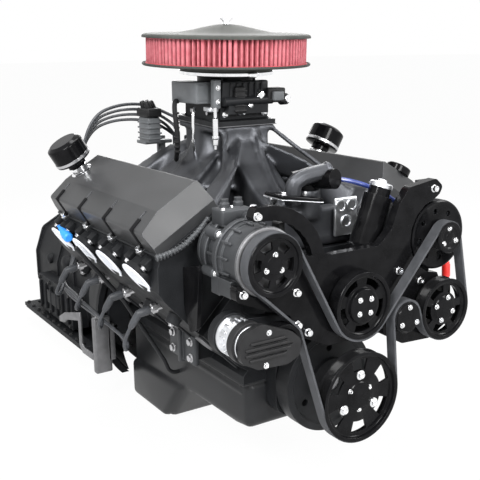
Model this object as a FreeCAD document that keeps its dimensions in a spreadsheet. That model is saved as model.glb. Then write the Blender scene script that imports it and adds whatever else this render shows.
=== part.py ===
import FreeCAD, Part
import math
import os

V = FreeCAD.Vector
ROT = FreeCAD.Rotation
PLACE = FreeCAD.Placement

# Complete big-block V8 engine, built from separate named pieces.
# Frame: millimetres, Z up, crankshaft along Y with the pulleys toward -Y,
# origin on the crankshaft axis at the rear face of the block.
SIZES = [
    ("bore_radius", 53.975, "cylinder bore 4.25 in across"),
    ("crank_throw", 50.8, "half of the 4.00 in stroke"),
    ("rod_length", 155.8, "connecting rod centre to centre"),
    ("bore_pitch", 122.9, "spacing of cylinders along a bank"),
    ("deck_height", 248.9, "crank axis to deck along a bank"),
    ("bank_stagger", 24.0, "left bank sits this far ahead of the right"),
    ("block_length", 521.0, "block front face to rear face"),
    ("cam_height", 130.9, "camshaft above the crankshaft"),
    ("main_radius", 34.9, "main journal"),
    ("pin_radius", 27.9, "rod journal"),
    ("journal_gap", 0.05, "running clearance of journals, on radius"),
    ("main_width", 27.0, "main bearing web"),
    ("cam_journal", 24.75, "camshaft bearing journal"),
    ("lobe_base", 17.5, "camshaft lobe base circle"),
    ("lobe_nose", 24.4, "camshaft lobe tip"),
    ("lifter_radius", 10.7, "lifter body"),
    ("lifter_length", 62.0, "lifter body length"),
    ("fit_gap", 0.3, "clearance between still curved faces"),
    ("gasket", 1.0, "head gasket thickness"),
    ("head_length", 497.0, "cylinder head length"),
    ("cover_height", 61.0, "valve cover above its rail"),
    ("cover_length", 490.0, "valve cover length"),
    ("cover_wall", 4.0, "valve cover wall"),
    ("timing_depth", 34.0, "timing cover depth"),
    ("belt_width", 21.4, "six-rib belt"),
    ("belt_thick", 4.2, "belt thickness"),
    ("belt_gap", 0.3, "belt to pulley clearance"),
    ("front_y", 691.0, "pulley front plane ahead of the block rear face"),
    ("pulley_width", 26.0, "width of every pulley rim"),
    ("crank_pulley", 86.8, "crank pulley radius"),
    ("damper_radius", 101.6, "harmonic damper 8 in across"),
    ("damper_width", 44.0, "harmonic damper thickness"),
    ("pump_pulley", 62.2, "water pump pulley radius"),
    ("pump_height", 175.3, "water pump axis above the crank"),
    ("clutch_pulley", 54.1, "compressor clutch pulley radius"),
    ("clutch_x", -191.0, "compressor axis across"),
    ("clutch_z", 279.5, "compressor axis height"),
    ("alt_pulley", 30.0, "alternator pulley radius"),
    ("alt_x", 208.0, "alternator axis across"),
    ("alt_z", 272.0, "alternator axis height"),
    ("alt_radius", 67.5, "alternator case radius"),
    ("steer_pulley", 60.6, "steering pump pulley radius"),
    ("steer_x", 205.7, "steering pump axis across"),
    ("steer_z", 130.8, "steering pump axis height"),
    ("idler_radius", 30.0, "idler pulley radius"),
    ("idler_x", 107.0, "idler axis across"),
    ("idler_z", 132.9, "idler axis height"),
    ("tens_radius", 36.0, "tensioner pulley radius"),
    ("tens_x", -174.0, "tensioner pulley axis across"),
    ("tens_z", 139.0, "tensioner pulley axis height"),
    ("pivot_x", -240.0, "tensioner pivot across"),
    ("pivot_z", 153.0, "tensioner pivot height"),
    ("plate_thick", 18.0, "accessory bracket plate"),
    ("pad_height", 470.0, "carburettor pad above the crank"),
    ("pad_y", -228.0, "carburettor pad centre"),
    ("pad_tilt", 2.3, "carburettor pad lean, degrees"),
    ("cleaner_radius", 177.8, "air cleaner 14 in across"),
    ("element_height", 62.0, "filter element height"),
    ("sump_depth", 205.0, "oil pan depth at the rear"),
    ("sump_shallow", 106.0, "oil pan depth at the front"),
    ("bell_radius", 228.0, "bellhousing flange radius"),
    ("bell_depth", 150.0, "bellhousing depth"),
    ("gearbox_length", 560.0, "gearbox case behind the bellhousing"),
    ("flex_radius", 178.0, "flexplate ring gear radius"),
    ("bore_valve_in", 26.0, "intake valve head radius"),
    ("bore_valve_ex", 21.5, "exhaust valve head radius"),
]
D = {name: value for name, value, note in SIZES}
K = math.sqrt(0.5)

doc = FreeCAD.newDocument("EngineV8")
dims = doc.addObject("Spreadsheet::Sheet", "Dims")
for row, (name, value, note) in enumerate(SIZES, 1):
    dims.set("A%d" % row, name)
    dims.set("B%d" % row, str(value))
    dims.set("C%d" % row, note)
    dims.setAlias("B%d" % row, name)
doc.recompute()

NODES = {}


def drive(obj, prop, size):
    """Set a property from a number, or bind it to a named size."""
    if isinstance(size, str):
        obj.setExpression(prop, "Dims." + size)
    else:
        setattr(obj, prop, size)


def num(size):
    return D[size] if isinstance(size, str) else size


def front(x, y, z):
    """Local z points to the engine front (-Y), local y points up."""
    return PLACE(V(x, y, z), ROT(V(1, 0, 0), 90))


def along(point, direction):
    """Local z points along the direction."""
    return PLACE(V(*point), ROT(V(0, 0, 1), V(*direction)))


def rounded(points):
    """Line and arc geometry through (x, y) or (x, y, radius) corners."""
    count = len(points)
    ins, outs, mids = [], [], []
    for i, p in enumerate(points):
        q = V(p[0], p[1], 0)
        r = p[2] if len(p) > 2 else 0
        before = V(*points[i - 1][:2], 0) - q
        after = V(*points[(i + 1) % count][:2], 0) - q
        if r <= 0:
            ins.append(q)
            outs.append(q)
            mids.append(None)
            continue
        a, b = V(before).normalize(), V(after).normalize()
        half = math.acos(max(-1, min(1, a.dot(b)))) / 2
        reach = r / math.tan(half)
        middle = V(a + b).normalize()
        ins.append(q + a * reach)
        outs.append(q + b * reach)
        mids.append(q + middle * (r / math.sin(half) - r))
    made = []
    for i in range(count):
        if mids[i] is not None:
            made.append(Part.Arc(ins[i], mids[i], outs[i]))
        nxt = ins[(i + 1) % count]
        if outs[i].distanceToPoint(nxt) > 1e-6:
            made.append(Part.LineSegment(outs[i], nxt))
    return made


def circle(x, y, r):
    return [Part.Circle(V(x, y, 0), V(0, 0, 1), r)]


def prism(name, points, place, length):
    """Sketch of one outline, extruded along the local z."""
    sk = doc.addObject("Sketcher::SketchObject", name + "_outline")
    sk.Placement = place
    sk.addGeometry(rounded(points), False)
    ex = doc.addObject("Part::Extrusion", name)
    ex.Base = sk
    ex.DirMode = "Normal"
    ex.Solid = True
    drive(ex, "LengthFwd", length)
    return ex


def cyl(name, radius, height, place):
    c = doc.addObject("Part::Cylinder", name)
    drive(c, "Radius", radius)
    drive(c, "Height", height)
    c.Placement = place
    return c


def cone(name, r1, r2, height, place):
    c = doc.addObject("Part::Cone", name)
    drive(c, "Radius1", r1)
    drive(c, "Radius2", r2)
    drive(c, "Height", height)
    c.Placement = place
    return c


def box(name, lo, hi):
    b = doc.addObject("Part::Box", name)
    b.Length, b.Width, b.Height = (hi[0] - lo[0], hi[1] - lo[1], hi[2] - lo[2])
    b.Placement.Base = V(*lo)
    return b


def fuse(name, items):
    f = doc.addObject("Part::MultiFuse", name)
    f.Shapes = items
    f.Refine = True
    return f


def cut(name, base, tools):
    tool = tools[0] if len(tools) == 1 else doc.addObject("Part::Compound", name + "_tools")
    if len(tools) > 1:
        tool.Links = tools
    c = doc.addObject("Part::Cut", name)
    c.Base, c.Tool = base, tool
    return c


def group(name, items):
    g = doc.addObject("Part::Compound", name)
    g.Links = items
    return g


def plain(name, shape):
    f = doc.addObject("Part::Feature", name)
    f.Shape = shape
    return f


def copies(name, master, places):
    """One node holding the same solid at several placements."""
    doc.recompute()
    shape = master.Shape
    made = []
    for p in places:
        s = shape.copy()
        s.Placement = p.multiply(s.Placement)
        made += s.Solids
    return plain(name, Part.makeCompound(made))


def node(obj, name):
    obj.Label = name
    NODES[name] = obj
    return obj


def body(name, place):
    b = doc.addObject("PartDesign::Body", name)
    b.Placement = place
    return b


def plane(b, role):
    for f in b.Origin.OriginFeatures:
        if f.Role == role:
            return f


def sketch(b, geometry, role="XY_Plane", lift=0.0):
    sk = b.newObject("Sketcher::SketchObject", b.Name + "_sketch")
    sk.AttachmentSupport = (plane(b, role), [""])
    sk.MapMode = "FlatFace"
    sk.AttachmentOffset = PLACE(V(0, 0, lift), ROT())
    sk.addGeometry(geometry, False)
    return sk


def turn(b, points):
    """Revolve a (radius, height) outline about the body's z axis."""
    sk = sketch(b, rounded(points), "XZ_Plane")
    rev = b.newObject("PartDesign::Revolution", b.Name + "_turn")
    rev.Profile = sk
    rev.ReferenceAxis = (sk, ["V_Axis"])
    rev.Angle = 360
    b.Tip = rev
    return rev


def pad(b, geometry, length, role="XY_Plane", lift=0.0, middle=False, back=False):
    f = b.newObject("PartDesign::Pad", b.Name + "_pad")
    f.Profile = sketch(b, geometry, role, lift)
    drive(f, "Length", length)
    f.Midplane = middle
    f.Reversed = back
    b.Tip = f
    return f


def pocket(b, geometry, depth, lift=0.0, role="XY_Plane", count=1):
    """Cut centred on the sketch plane; count > 1 repeats it about z."""
    f = b.newObject("PartDesign::Pocket", b.Name + "_pocket")
    f.Profile = sketch(b, geometry, role, lift)
    drive(f, "Length", depth)
    f.Midplane = True
    b.Tip = f
    if count > 1:
        pat = b.newObject("PartDesign::PolarPattern", b.Name + "_pattern")
        pat.Originals = [f]
        pat.Axis = (plane(b, "Z_Axis"), [""])
        pat.Angle = 360
        pat.Occurrences = count
        b.Tip = pat
    return f


def window(r1, r2, half1, half2, r=3.0):
    """Rounded wedge opening between two radii, half widths in mm."""
    return rounded([(-half1, r1, r), (half1, r1, r), (half2, r2, r), (-half2, r2, r)])


def bank(side, a, b, y=0.0):
    """Point at distance a along a bank axis and b toward the valley."""
    return V(side * (a - b) * K, y, (a + b) * K)


def bank_axis(side):
    return V(side * K, 0, K)


def bores(side):
    """Cylinder centres along Y, front to rear."""
    first = -435.0 - (D["bank_stagger"] if side > 0 else 0.0)
    return [first + i * D["bore_pitch"] for i in range(4)]


PAIRS = [-447.0 + i * D["bore_pitch"] for i in range(4)]
MAINS = [-508.0 + i * D["bore_pitch"] for i in range(5)]
VALVE_IN, VALVE_EX, VALVE_B = 24.0, -25.5, 8.0
CAM = V(0, 0, D["cam_height"])


def lifter_spots():
    """(side, y, cylinder index, is intake) for the sixteen lifters."""
    out = []
    for side in (-1, 1):
        for i, y in enumerate(bores(side)):
            out.append((side, y + VALVE_IN, i, True))
            out.append((side, y + VALVE_EX, i, False))
    return out


def rod_line(side, y):
    """Pushrod ends: lifter cup and rocker cup."""
    low = CAM + bank_axis(side) * (D["lobe_nose"] + 0.3 + D["lifter_length"])
    return V(low.x, y, low.z), bank(side, 430.0, 60.0, y)


# Cylinder block with bores, crankcase bays, cam tunnel and lifter bores.
BL = "block_length"
deck_out = bank(1, D["deck_height"], -85)
deck_in = bank(1, D["deck_height"], 95)
half = [(150, 0), (150, 16), (140, 27), (deck_out.x - 78, deck_out.z - 78, 12),
        (deck_out.x, deck_out.z), (deck_in.x, deck_in.z), (50, 181, 8)]
outline = half + [(-p[0],) + tuple(p[1:]) for p in reversed(half)]
blk = prism("block_casting", outline, front(0, 0, 0), BL)
flange = prism("block_flange", [(-205, -45, 12), (-205, 40, 20), (-180, 135, 20), (-105, 214, 14),
                                (105, 214, 14), (180, 135, 20), (205, 40, 20), (205, -45, 12),
                                (152, -45, 5), (152, 30), (-152, 30), (-152, -45, 5)],
               front(0, 0, 0), 14)
walls = [prism("valley_wall_%d" % i, [(-deck_in.x, deck_in.z - 1), (deck_in.x, deck_in.z - 1),
                                      (60, 175), (-60, 175)], front(0, y, 0), 16)
         for i, y in enumerate((0, 16 - D[BL]))]
pads = []
for side in (-1, 1):
    pads.append(box("mount_pad_%d" % (side + 1), (min(side * 138, side * 182), -400, 18),
                    (max(side * 138, side * 182), -310, 62)))
pads.append(box("filter_pad", (140, -118, 2), (236, -24, 32)))
block_solid = fuse("block_solid", [blk, flange] + walls + pads)
tools = []
for side in (-1, 1):
    for i, y in enumerate(bores(side)):
        tools.append(cyl("bore_%d_%d" % (side + 1, i), "bore_radius", 190,
                         along(bank(side, 71, 0, y), bank_axis(side))))
for i, y in enumerate(PAIRS):
    tools.append(cyl("bay_%d" % i, 97, D["bore_pitch"] - D["main_width"],
                     front(0, y + (D["bore_pitch"] - D["main_width"]) / 2, 0)))
tools.append(cyl("main_bore", D["main_radius"] + D["journal_gap"], 560, front(0, 20, 0)))
tools.append(cyl("cam_bore", D["cam_journal"] + D["journal_gap"], 520, front(0, -12, D["cam_height"])))
for n, (side, y, i, intake) in enumerate(lifter_spots()):
    start = CAM + bank_axis(side) * 20
    tools.append(cyl("lifter_bore_%d" % n, D["lifter_radius"] + 0.03, 75,
                     along((start.x, y, start.z), bank_axis(side))))
    low, high = rod_line(side, y)
    start = low - V(high - low).normalize() * 4
    tools.append(cyl("rod_bore_%d" % n, 7.0, 130, along(start, high - low)))
for side in (-1, 1):
    for y in (-385, -355, -325):
        tools.append(cyl("mount_hole_%d_%d" % (side + 1, -y), 4.8, 31,
                         along((side * 183, y, 50 if y == -355 else 29), (-side, 0, 0))))
BELL_HOLES = [(-77, 196), (77, 196), (-166, 117), (166, 117), (-188, -22), (188, -22)]
for i, (x, z) in enumerate(BELL_HOLES):
    tools.append(cyl("bell_hole_%d" % i, 5.1, 40, front(x, 5, z)))
tools.append(cyl("dist_bore", 15.4, 120, PLACE(V(0, -50, 158), ROT())))
block = node(cut("block", block_solid, tools), "cylinder_block")

# Main bearing caps, one node of five like solids.
cap = cut("cap", prism("cap_body", [(-74, 0), (-74, -30, 8), (-46, -62, 8), (46, -62, 8),
                                    (74, -30, 8), (74, 0)], front(0, 0, 0), D["main_width"] - 1),
          [cyl("cap_bore", D["main_radius"] + D["journal_gap"], 60, front(0, 20, 0))])
node(copies("caps", cap, [PLACE(V(0, y + (D["main_width"] - 1) / 2, 0), ROT()) for y in MAINS]),
     "main_bearing_caps")

# Crankshaft: cross-plane throws at 45, 315, 135 and 225 degrees in the front view.
THROWS = [45, -45, 135, 225]
parts = [cyl("crank_mains", "main_radius", 511, front(0, 4, 0)),
         cyl("crank_snout", 19.0, 95, front(0, -505, 0)),
         cyl("crank_flange", 45.0, 12, front(0, 14, 0))]
void = []
for i, (y, ang) in enumerate(zip(PAIRS, THROWS)):
    c, s = math.cos(math.radians(ang)), math.sin(math.radians(ang))
    void.append(cyl("throw_gap_%d" % i, 60, 51, front(0, y + 25.5, 0)))
    parts.append(cyl("crank_pin_%d" % i, "pin_radius", 60,
                     front(D["crank_throw"] * c, y + 30, D["crank_throw"] * s)))
    web = [(-34, -14), (-40, 60, 30), (40, 60, 30), (34, -14), (74, -16, 6), (56, -52, 12),
           (20, -73, 14), (-20, -73, 14), (-56, -52, 12), (-74, -16, 6)]
    for off in (45.5, -25.5):
        sk = PLACE(V(0, y + off, 0), ROT(V(0, 1, 0), -(ang - 90)).multiply(ROT(V(1, 0, 0), 90)))
        parts.append(prism("crank_web_%d_%d" % (i, off), web, sk, 20))
void.append(cyl("crank_pilot", 17.0, 19, front(0, 15, 0)))
shaft = cut("crank_shafts", fuse("crank_core", parts[:3]), void)
node(fuse("crank", [shaft] + parts[3:]), "crankshaft")

# Camshaft with sixteen lobes set by the firing order 1-8-4-3-6-5-7-2.
TDC = {(1, 0): 0, (-1, 3): 90, (-1, 1): 180, (1, 1): 270,
       (-1, 2): 360, (1, 2): 450, (1, 3): 540, (-1, 0): 630}
parts = [cyl("cam_core", 16.0, 500, front(0, -14, D["cam_height"]))]
for i, y in enumerate(MAINS):
    parts.append(cyl("cam_journal_%d" % i, "cam_journal", 24 if i < 4 else 16,
                     front(0, y + (12 if i < 4 else 2), D["cam_height"])))
for n, (side, y, i, intake) in enumerate(lifter_spots()):
    peak = (TDC[(side, i)] + (468 if intake else 248)) % 720
    nose = (45 if side > 0 else 135) + peak / 2.0
    lobe = [(-15.5, -3, 7), (-14.5, 6, 4), (-8.6, D["lobe_nose"] - 1.0, 8.4),
            (8.6, D["lobe_nose"] - 1.0, 8.4), (14.5, 6, 4), (15.5, -3, 7), (10.5, -16.5, 9),
            (-10.5, -16.5, 9)]
    where = PLACE(V(0, y + 7.5, D["cam_height"]),
                  ROT(V(0, 1, 0), -(nose - 90)).multiply(ROT(V(1, 0, 0), 90)))
    parts.append(prism("lobe_%d" % n, lobe, where, 15))
parts.append(cyl("cam_nose", 15.0, 14, front(0, -514, D["cam_height"])))
node(fuse("cam", parts), "camshaft")

# Timing set: sprockets and a roller chain modelled as a band clear of the teeth.
TEETH_SMALL, TEETH_LARGE, CHAIN_PITCH = 21, 42, 9.525


def sprocket(name, teeth, hub, bore, x, y, z, holes):
    tip = CHAIN_PITCH / (2 * math.sin(math.pi / teeth)) + 1.6
    b = body(name, front(x, y, z))
    pad(b, circle(0, 0, tip), 9)
    gap = rounded([(-2.6, tip - 5, 1.2), (2.6, tip - 5, 1.2), (3.6, tip + 3), (-3.6, tip + 3)])
    pocket(b, gap, 40, 0, count=teeth)
    pad(b, circle(0, 0, hub), 15)
    pocket(b, circle(0, 0, bore), 60)
    if holes:
        pocket(b, circle(0, tip * 0.6, 9), 60, count=6)
    return b, tip


small, tip_small = sprocket("sprocket_small", TEETH_SMALL, 27, 19.0, 0, -523, 0, False)
large, tip_large = sprocket("sprocket_large", TEETH_LARGE, 24, 15.0, 0, -523, D["cam_height"], True)
node(small, "crank_sprocket")
node(large, "cam_sprocket")


def loop(circles):
    """Closed path round (x, z, signed radius) circles; plus is anticlockwise."""
    count = len(circles)
    tangents = []
    for i in range(count):
        x1, z1, s1 = circles[i]
        x2, z2, s2 = circles[(i + 1) % count]
        dx, dz = x2 - x1, z2 - z1
        span = math.hypot(dx, dz)
        t = math.atan2(dz, dx) - math.asin((s2 - s1) / span)
        n = (-math.sin(t), math.cos(t))
        tangents.append(((x1 - s1 * n[0], z1 - s1 * n[1]), (x2 - s2 * n[0], z2 - s2 * n[1])))
    edges = []
    for i in range(count):
        x, z, s = circles[i]
        start, end = tangents[i - 1][1], tangents[i][0]
        a1 = math.atan2(start[1] - z, start[0] - x)
        a2 = math.atan2(end[1] - z, end[0] - x)
        turn_by = (a2 - a1) % (2 * math.pi) if s > 0 else -((a1 - a2) % (2 * math.pi))
        am = a1 + turn_by / 2
        mid = (x + abs(s) * math.cos(am), z + abs(s) * math.sin(am))
        edges.append(Part.Arc(V(*start, 0), V(*mid, 0), V(*end, 0)))
        edges.append(Part.LineSegment(V(*end, 0), V(*tangents[i][1], 0)))
    return edges


def band(name, stations, inner, outer, y, width):
    """Flat belt: stations are (x, z, radius, ribbed side in contact)."""
    b = body(name, front(0, y, 0))
    ring = loop([(x, z, r + outer if ribbed else -(r + inner)) for x, z, r, ribbed in stations])
    hole = loop([(x, z, r + inner if ribbed else -(r + outer)) for x, z, r, ribbed in stations])
    pad(b, ring, width)
    f = b.newObject("PartDesign::Pocket", name + "_inside")
    f.Profile = sketch(b, hole)
    f.Length = 200
    f.Midplane = True
    b.Tip = f
    return b


chain = band("chain", [(0, 0, tip_small, True), (0, D["cam_height"], tip_large, True)],
             D["fit_gap"], 6.5, -523.5, 8)
node(chain, "timing_chain")

# Timing cover: hollow cup over the timing set, with the crank seal bore.
cover = [(-98, -68, 30), (98, -68, 30), (98, 62, 12), (88, 150, 20), (60, 222, 18),
         (-60, 222, 18), (-88, 150, 20), (-98, 62, 12)]
hollow = [(x * 0.93, z * 0.965 + 1, r) for x, z, r in cover]
b = body("timing_case", front(0, -D[BL], 0))
pad(b, rounded(cover), "timing_depth")
pocket(b, rounded(hollow), 2 * (D["timing_depth"] - 5))
pocket(b, circle(0, 0, 26.3), 200)
node(b, "timing_cover")

# Pistons and rods at their true places for cylinder one at top dead centre.
crown = cut("piston", cyl("piston_body", D["bore_radius"] - 0.06, 66, PLACE(V(0, 0, -25), ROT())),
            [cyl("piston_hollow", 46, 50, PLACE(V(0, 0, -30), ROT())),
             box("piston_slot_a", (-60, 30, -30), (60, 60, 14)),
             box("piston_slot_b", (-60, -60, -30), (60, -30, 14)),
             cut("ring_grooves", group("grooves", [
                 cyl("groove_%d" % i, 60, 2.0,
                     PLACE(V(0, 0, z), ROT())) for i, z in enumerate((34, 28, 22))]),
                 [cyl("groove_core", 50.5, 90, PLACE(V(0, 0, -30), ROT()))])])
boss = cut("pin_boss", cyl("pin_boss_body", 17, 64, front(0, 32, 0)),
           [box("boss_gap", (-20, -13, -20), (20, 13, 20))])
piston = cut("piston_bored", fuse("piston_all", [crown, boss]),
             [cyl("pin_bore", 12.73, 120, front(0, 60, 0))])
pin = cyl("wrist_pin", 12.7, 62, front(0, 31, 0))
LEN, THR = D["rod_length"], D["crank_throw"]
rod = cut("rod", fuse("rod_all", [cyl("rod_big", 41, 24, front(0, 12, 0)),
                                  cyl("rod_small", 19, 24, front(0, 12, LEN)),
                                  prism("rod_beam", [(-17, 20), (17, 20), (11, LEN - 8), (-11, LEN - 8)],
                                        front(0, 7, 0), 14),
                                  box("rod_bolt_boss", (-47, -11, -20), (47, 11, 22))]),
          [cyl("rod_big_bore", D["pin_radius"] + D["journal_gap"], 60, front(0, 30, 0)),
           cyl("rod_small_bore", 12.76, 60, front(0, 30, LEN))])
spots, pins, rods = [], [], []
for side in (-1, 1):
    phi = math.radians(45 if side > 0 else 135)
    for i, y in enumerate(bores(side)):
        th = math.radians(THROWS[i])
        up = THR * math.cos(th - phi) + math.sqrt(LEN ** 2 - (THR * math.sin(th - phi)) ** 2)
        lift = V(math.cos(phi), 0, math.sin(phi)) * up
        low = V(THR * math.cos(th), 0, THR * math.sin(th))
        tilt = math.degrees(math.atan2(lift.x - low.x, lift.z - low.z))
        spots.append(PLACE(V(lift.x, y, lift.z), ROT(V(0, 1, 0), side * 45)))
        rods.append(PLACE(V(low.x, PAIRS[i] + (12.4 if side < 0 else -12.4), low.z),
                          ROT(V(0, 1, 0), tilt)))
node(group("piston_group", [copies("piston_set", piston, spots), copies("pin_set", pin, spots)]),
     "pistons")
node(copies("rod_set", rod, rods), "connecting_rods")

# Valve train: lifters, pushrods, rockers, valves with springs.
lifter = cut("lifter", cyl("lifter_body", "lifter_radius", "lifter_length", PLACE()),
             [cyl("lifter_cup", 6.0, 8, PLACE(V(0, 0, D["lifter_length"] - 4), ROT()))])
places = []
for side, y, i, intake in lifter_spots():
    at = CAM + bank_axis(side) * (D["lobe_nose"] + 0.3)
    places.append(along((at.x, y, at.z), bank_axis(side)))
lifters = copies("lifter_set", lifter, places)
low, high = rod_line(1, 0)
reach = high.distanceToPoint(low)
places = [along(rod_line(s, y)[0], rod_line(s, y)[1] - rod_line(s, y)[0]) for s, y, i, n in lifter_spots()]
pushrods = copies("pushrod_set", cyl("pushrod", 4.75, reach - 1.0, PLACE(V(0, 0, -3.0), ROT())), places)

# Cylinder heads with chambers, ports and valve stems passages.
RAIL_IN, RAIL_OUT = (371.4, 114.5), (406.1, -25.7)
TIP_A = 434.0


def head(side, name):
    rear = -3.0 if side < 0 else -3.0 - D["bank_stagger"]
    low = D["deck_height"] + D["gasket"]
    pts = [bank(side, low, -85), V(side * 300, 0, 186), V(side * 312, 0, 204), V(side * 312, 0, 250),
           bank(side, *RAIL_OUT), bank(side, *RAIL_IN), bank(side, low, 95)]
    base = prism(name + "_casting", [(p.x, p.z) for p in pts], front(0, rear, 0), "head_length")
    tools = []
    for i, y in enumerate(bores(side)):
        d = bank_axis(side)
        tag = "%s_%d_" % (name, i)
        tools.append(cyl(tag + "chamber", 52.0, 12, along(bank(side, low - 1, 0, y), d)))
        for off, r, kind in ((VALVE_IN, "bore_valve_in", "in"), (VALVE_EX, "bore_valve_ex", "ex")):
            tools.append(cyl(tag + kind + "_throat", D[r] - 2.5, 34,
                             along(bank(side, low + 9, VALVE_B, y + off), d)))
            tools.append(cyl(tag + kind + "_guide", 4.95, 160,
                             along(bank(side, low + 9, VALVE_B, y + off), d)))
            start = bank(side, low + 28, VALVE_B, y + off)
            if kind == "in":
                tools.append(cyl(tag + "in_port", 20, 130,
                                 along(start, bank(side, low + 64, 150, y + off) - start)))
            else:
                end = V(side * 330, y, 228)
                tools.append(cyl(tag + "ex_port", 18.5, 150, along(start, end - start)))
            low_end, high_end = rod_line(side, y + off)
            tools.append(cyl(tag + kind + "_rod", 7.0, 300, along(low_end, high_end - low_end)))
        seat = V(side * 279, y + 20, 150)
        tools.append(cyl(tag + "plug", 7.1, 90, along(seat, bank(side, low + 8, -20, y + 8) - seat)))
    tools.append(prism(name + "_well", [(p.x, p.z) for p in (
        bank(side, 386, -14), bank(side, 420, -14), bank(side, 420, 84), bank(side, 386, 84))],
        front(0, rear - 12, 0), D["head_length"] - 24))
    casting = cut(name + "_cut", base, tools)
    studs = [cyl("%s_stud_%d" % (name, n), 5.0, 66, along(bank(side, 382, 36, y), bank_axis(side)))
             for n, (s, y, i, intake) in enumerate(lifter_spots()) if s == side]
    return node(fuse(name + "_all", [casting] + studs), name)


head(-1, "cylinder_head_right")
head(1, "cylinder_head_left")
slabs = []
for side in (-1, 1):
    rear = -3.0 if side < 0 else -3.0 - D["bank_stagger"]
    pts = [bank(side, D["deck_height"], -85), bank(side, D["deck_height"], 95),
           bank(side, D["deck_height"] + D["gasket"], 95), bank(side, D["deck_height"] + D["gasket"], -85)]
    slab = prism("gasket_%d" % side, [(p.x, p.z) for p in pts], front(0, rear, 0), "head_length")
    holes = [cyl("gasket_bore_%d_%d" % (side, i), D["bore_radius"] + 0.8, 6,
                 along(bank(side, D["deck_height"] - 2, 0, y),
                       bank_axis(side))) for i, y in enumerate(bores(side))]
    for s, y, i, n in lifter_spots():
        if s == side:
            low, high = rod_line(side, y)
            holes.append(cyl("gasket_rod_%d_%d_%d" % (side, i, n), 7.0, 300, along(low, high - low)))
    slabs.append(cut("gasket_cut_%d" % side, slab, holes))
node(group("gaskets", slabs), "head_gaskets")


def valve(name, radius):
    seat = 9.5
    return [cyl(name + "_head", radius, 3, PLACE(V(0, 0, seat - 3), ROT())),
            cone(name + "_flare", 9.0, 4.7, 14, PLACE(V(0, 0, seat), ROT())),
            cyl(name + "_stem", 4.7, TIP_A - D["deck_height"] - D["gasket"] - seat - 0.3,
                PLACE(V(0, 0, seat), ROT()))]


def spring(name):
    base = 387.0 - D["deck_height"] - D["gasket"]
    return [cut(name + "_coil", cyl(name + "_outer", 15.0, 36, PLACE(V(0, 0, base), ROT())),
                [cyl(name + "_inner", 10.5, 60, PLACE(V(0, 0, base - 5), ROT()))])]


set_in, set_ex, retain = [], [], []
for side, y, i, intake in lifter_spots():
    spot = along(bank(side, D["deck_height"] + D["gasket"], VALVE_B, y), bank_axis(side))
    (set_in if intake else set_ex).append(spot)
v_in = copies("intake_set", fuse("intake_valve", valve("v_in", "bore_valve_in")), set_in)
v_ex = copies("exhaust_set", fuse("exhaust_valve", valve("v_ex", "bore_valve_ex")), set_ex)
cap = cut("retainer",
          cyl("retainer_body", 15.0, 5, PLACE(V(0, 0, 423.4 - D["deck_height"] - D["gasket"]), ROT())),
          [cyl("retainer_bore", 4.75, 400, PLACE())])
node(group("valve_set", [v_in, v_ex, copies("coil_set", spring("spring")[0], set_in + set_ex),
                          copies("retainer_set", cap, set_in + set_ex)]), "valves_and_springs")
arm = cut("rocker", prism("rocker_body", [(2, 0, 3), (2, 8, 3), (14, 12, 5), (44, 8.5, 4), (58, 3.5, 2.5),
                                          (58, -3, 2), (50, -3, 2), (30, 2, 4)],
                          PLACE(V(0, 7, 0), ROT(V(1, 0, 0), 90)), 14),
          [cyl("rocker_stud_bore", 5.2, 60, PLACE(V(33, 0, -20), ROT()))])
places = []
for side, y, i, intake in lifter_spots():
    base = bank(side, TIP_A, VALVE_B - 5, y)
    inward = V(-side * K, 0, K)
    up = bank_axis(side)
    rot = ROT(inward, V(0, 1, 0) if side > 0 else V(0, -1, 0), up, "XZY")
    places.append(PLACE(base, rot))
node(group("gear_group", [lifters, pushrods, copies("rocker_set", arm, places)]),
     "lifters_pushrods_rockers")


def rail(side, t, h, y=0.0):
    """Point on a head's cover rail: t from inner edge outward, h above it."""
    da, db = RAIL_OUT[0] - RAIL_IN[0], RAIL_OUT[1] - RAIL_IN[1]
    span = math.hypot(da, db)
    va, vb = da / span, db / span
    return bank(side, RAIL_IN[0] + va * t - vb * h, RAIL_IN[1] + vb * t + va * h, y)


RAIL_SPAN = math.hypot(RAIL_OUT[0] - RAIL_IN[0], RAIL_OUT[1] - RAIL_IN[1])


def rail_place(side, y):
    """Frame on the rail: x outward along it, z away from the head."""
    o, u, w = rail(side, 0, 0, y), rail(side, 1, 0), rail(side, 0, 1)
    z0 = rail(side, 0, 0)
    return PLACE(o, ROT(u - z0, V(0, -1 if side < 0 else 1, 0), w - z0, "XZY"))


# Valve covers: faceted shells with ends cut back, four grooves and bolt lugs each.
LUGS = [-187.0 + 125.0 * i for i in range(4)]


def cover_block(name, place, inset):
    """Solid of the cover, or of its hollow when inset is the wall."""
    h, s = D["cover_height"] - inset, RAIL_SPAN
    low = -1.0 if inset else 0.0
    b = body(name, place)
    outer = [(inset, low), (inset, h, 5), (s * 0.66 - inset * 0.3, h, 9),
             (s - inset, D["cover_height"] * 0.8 - inset * 1.1, 7), (s - inset, low)]
    pad(b, rounded(outer), D["cover_length"] - 2 * inset, "XZ_Plane", middle=True)
    for end in (-1, 1):
        e = end * (D["cover_length"] / 2 - inset)
        wedge = [(e + end * 5, h + 5), (e - end * 24, h + 5), (e - end * 22, h + 0.01), (e, 19 - inset),
                 (e + end * 5, 19 - inset)]
        pocket(b, rounded(wedge), 400, 0, "YZ_Plane")
    return b


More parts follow.
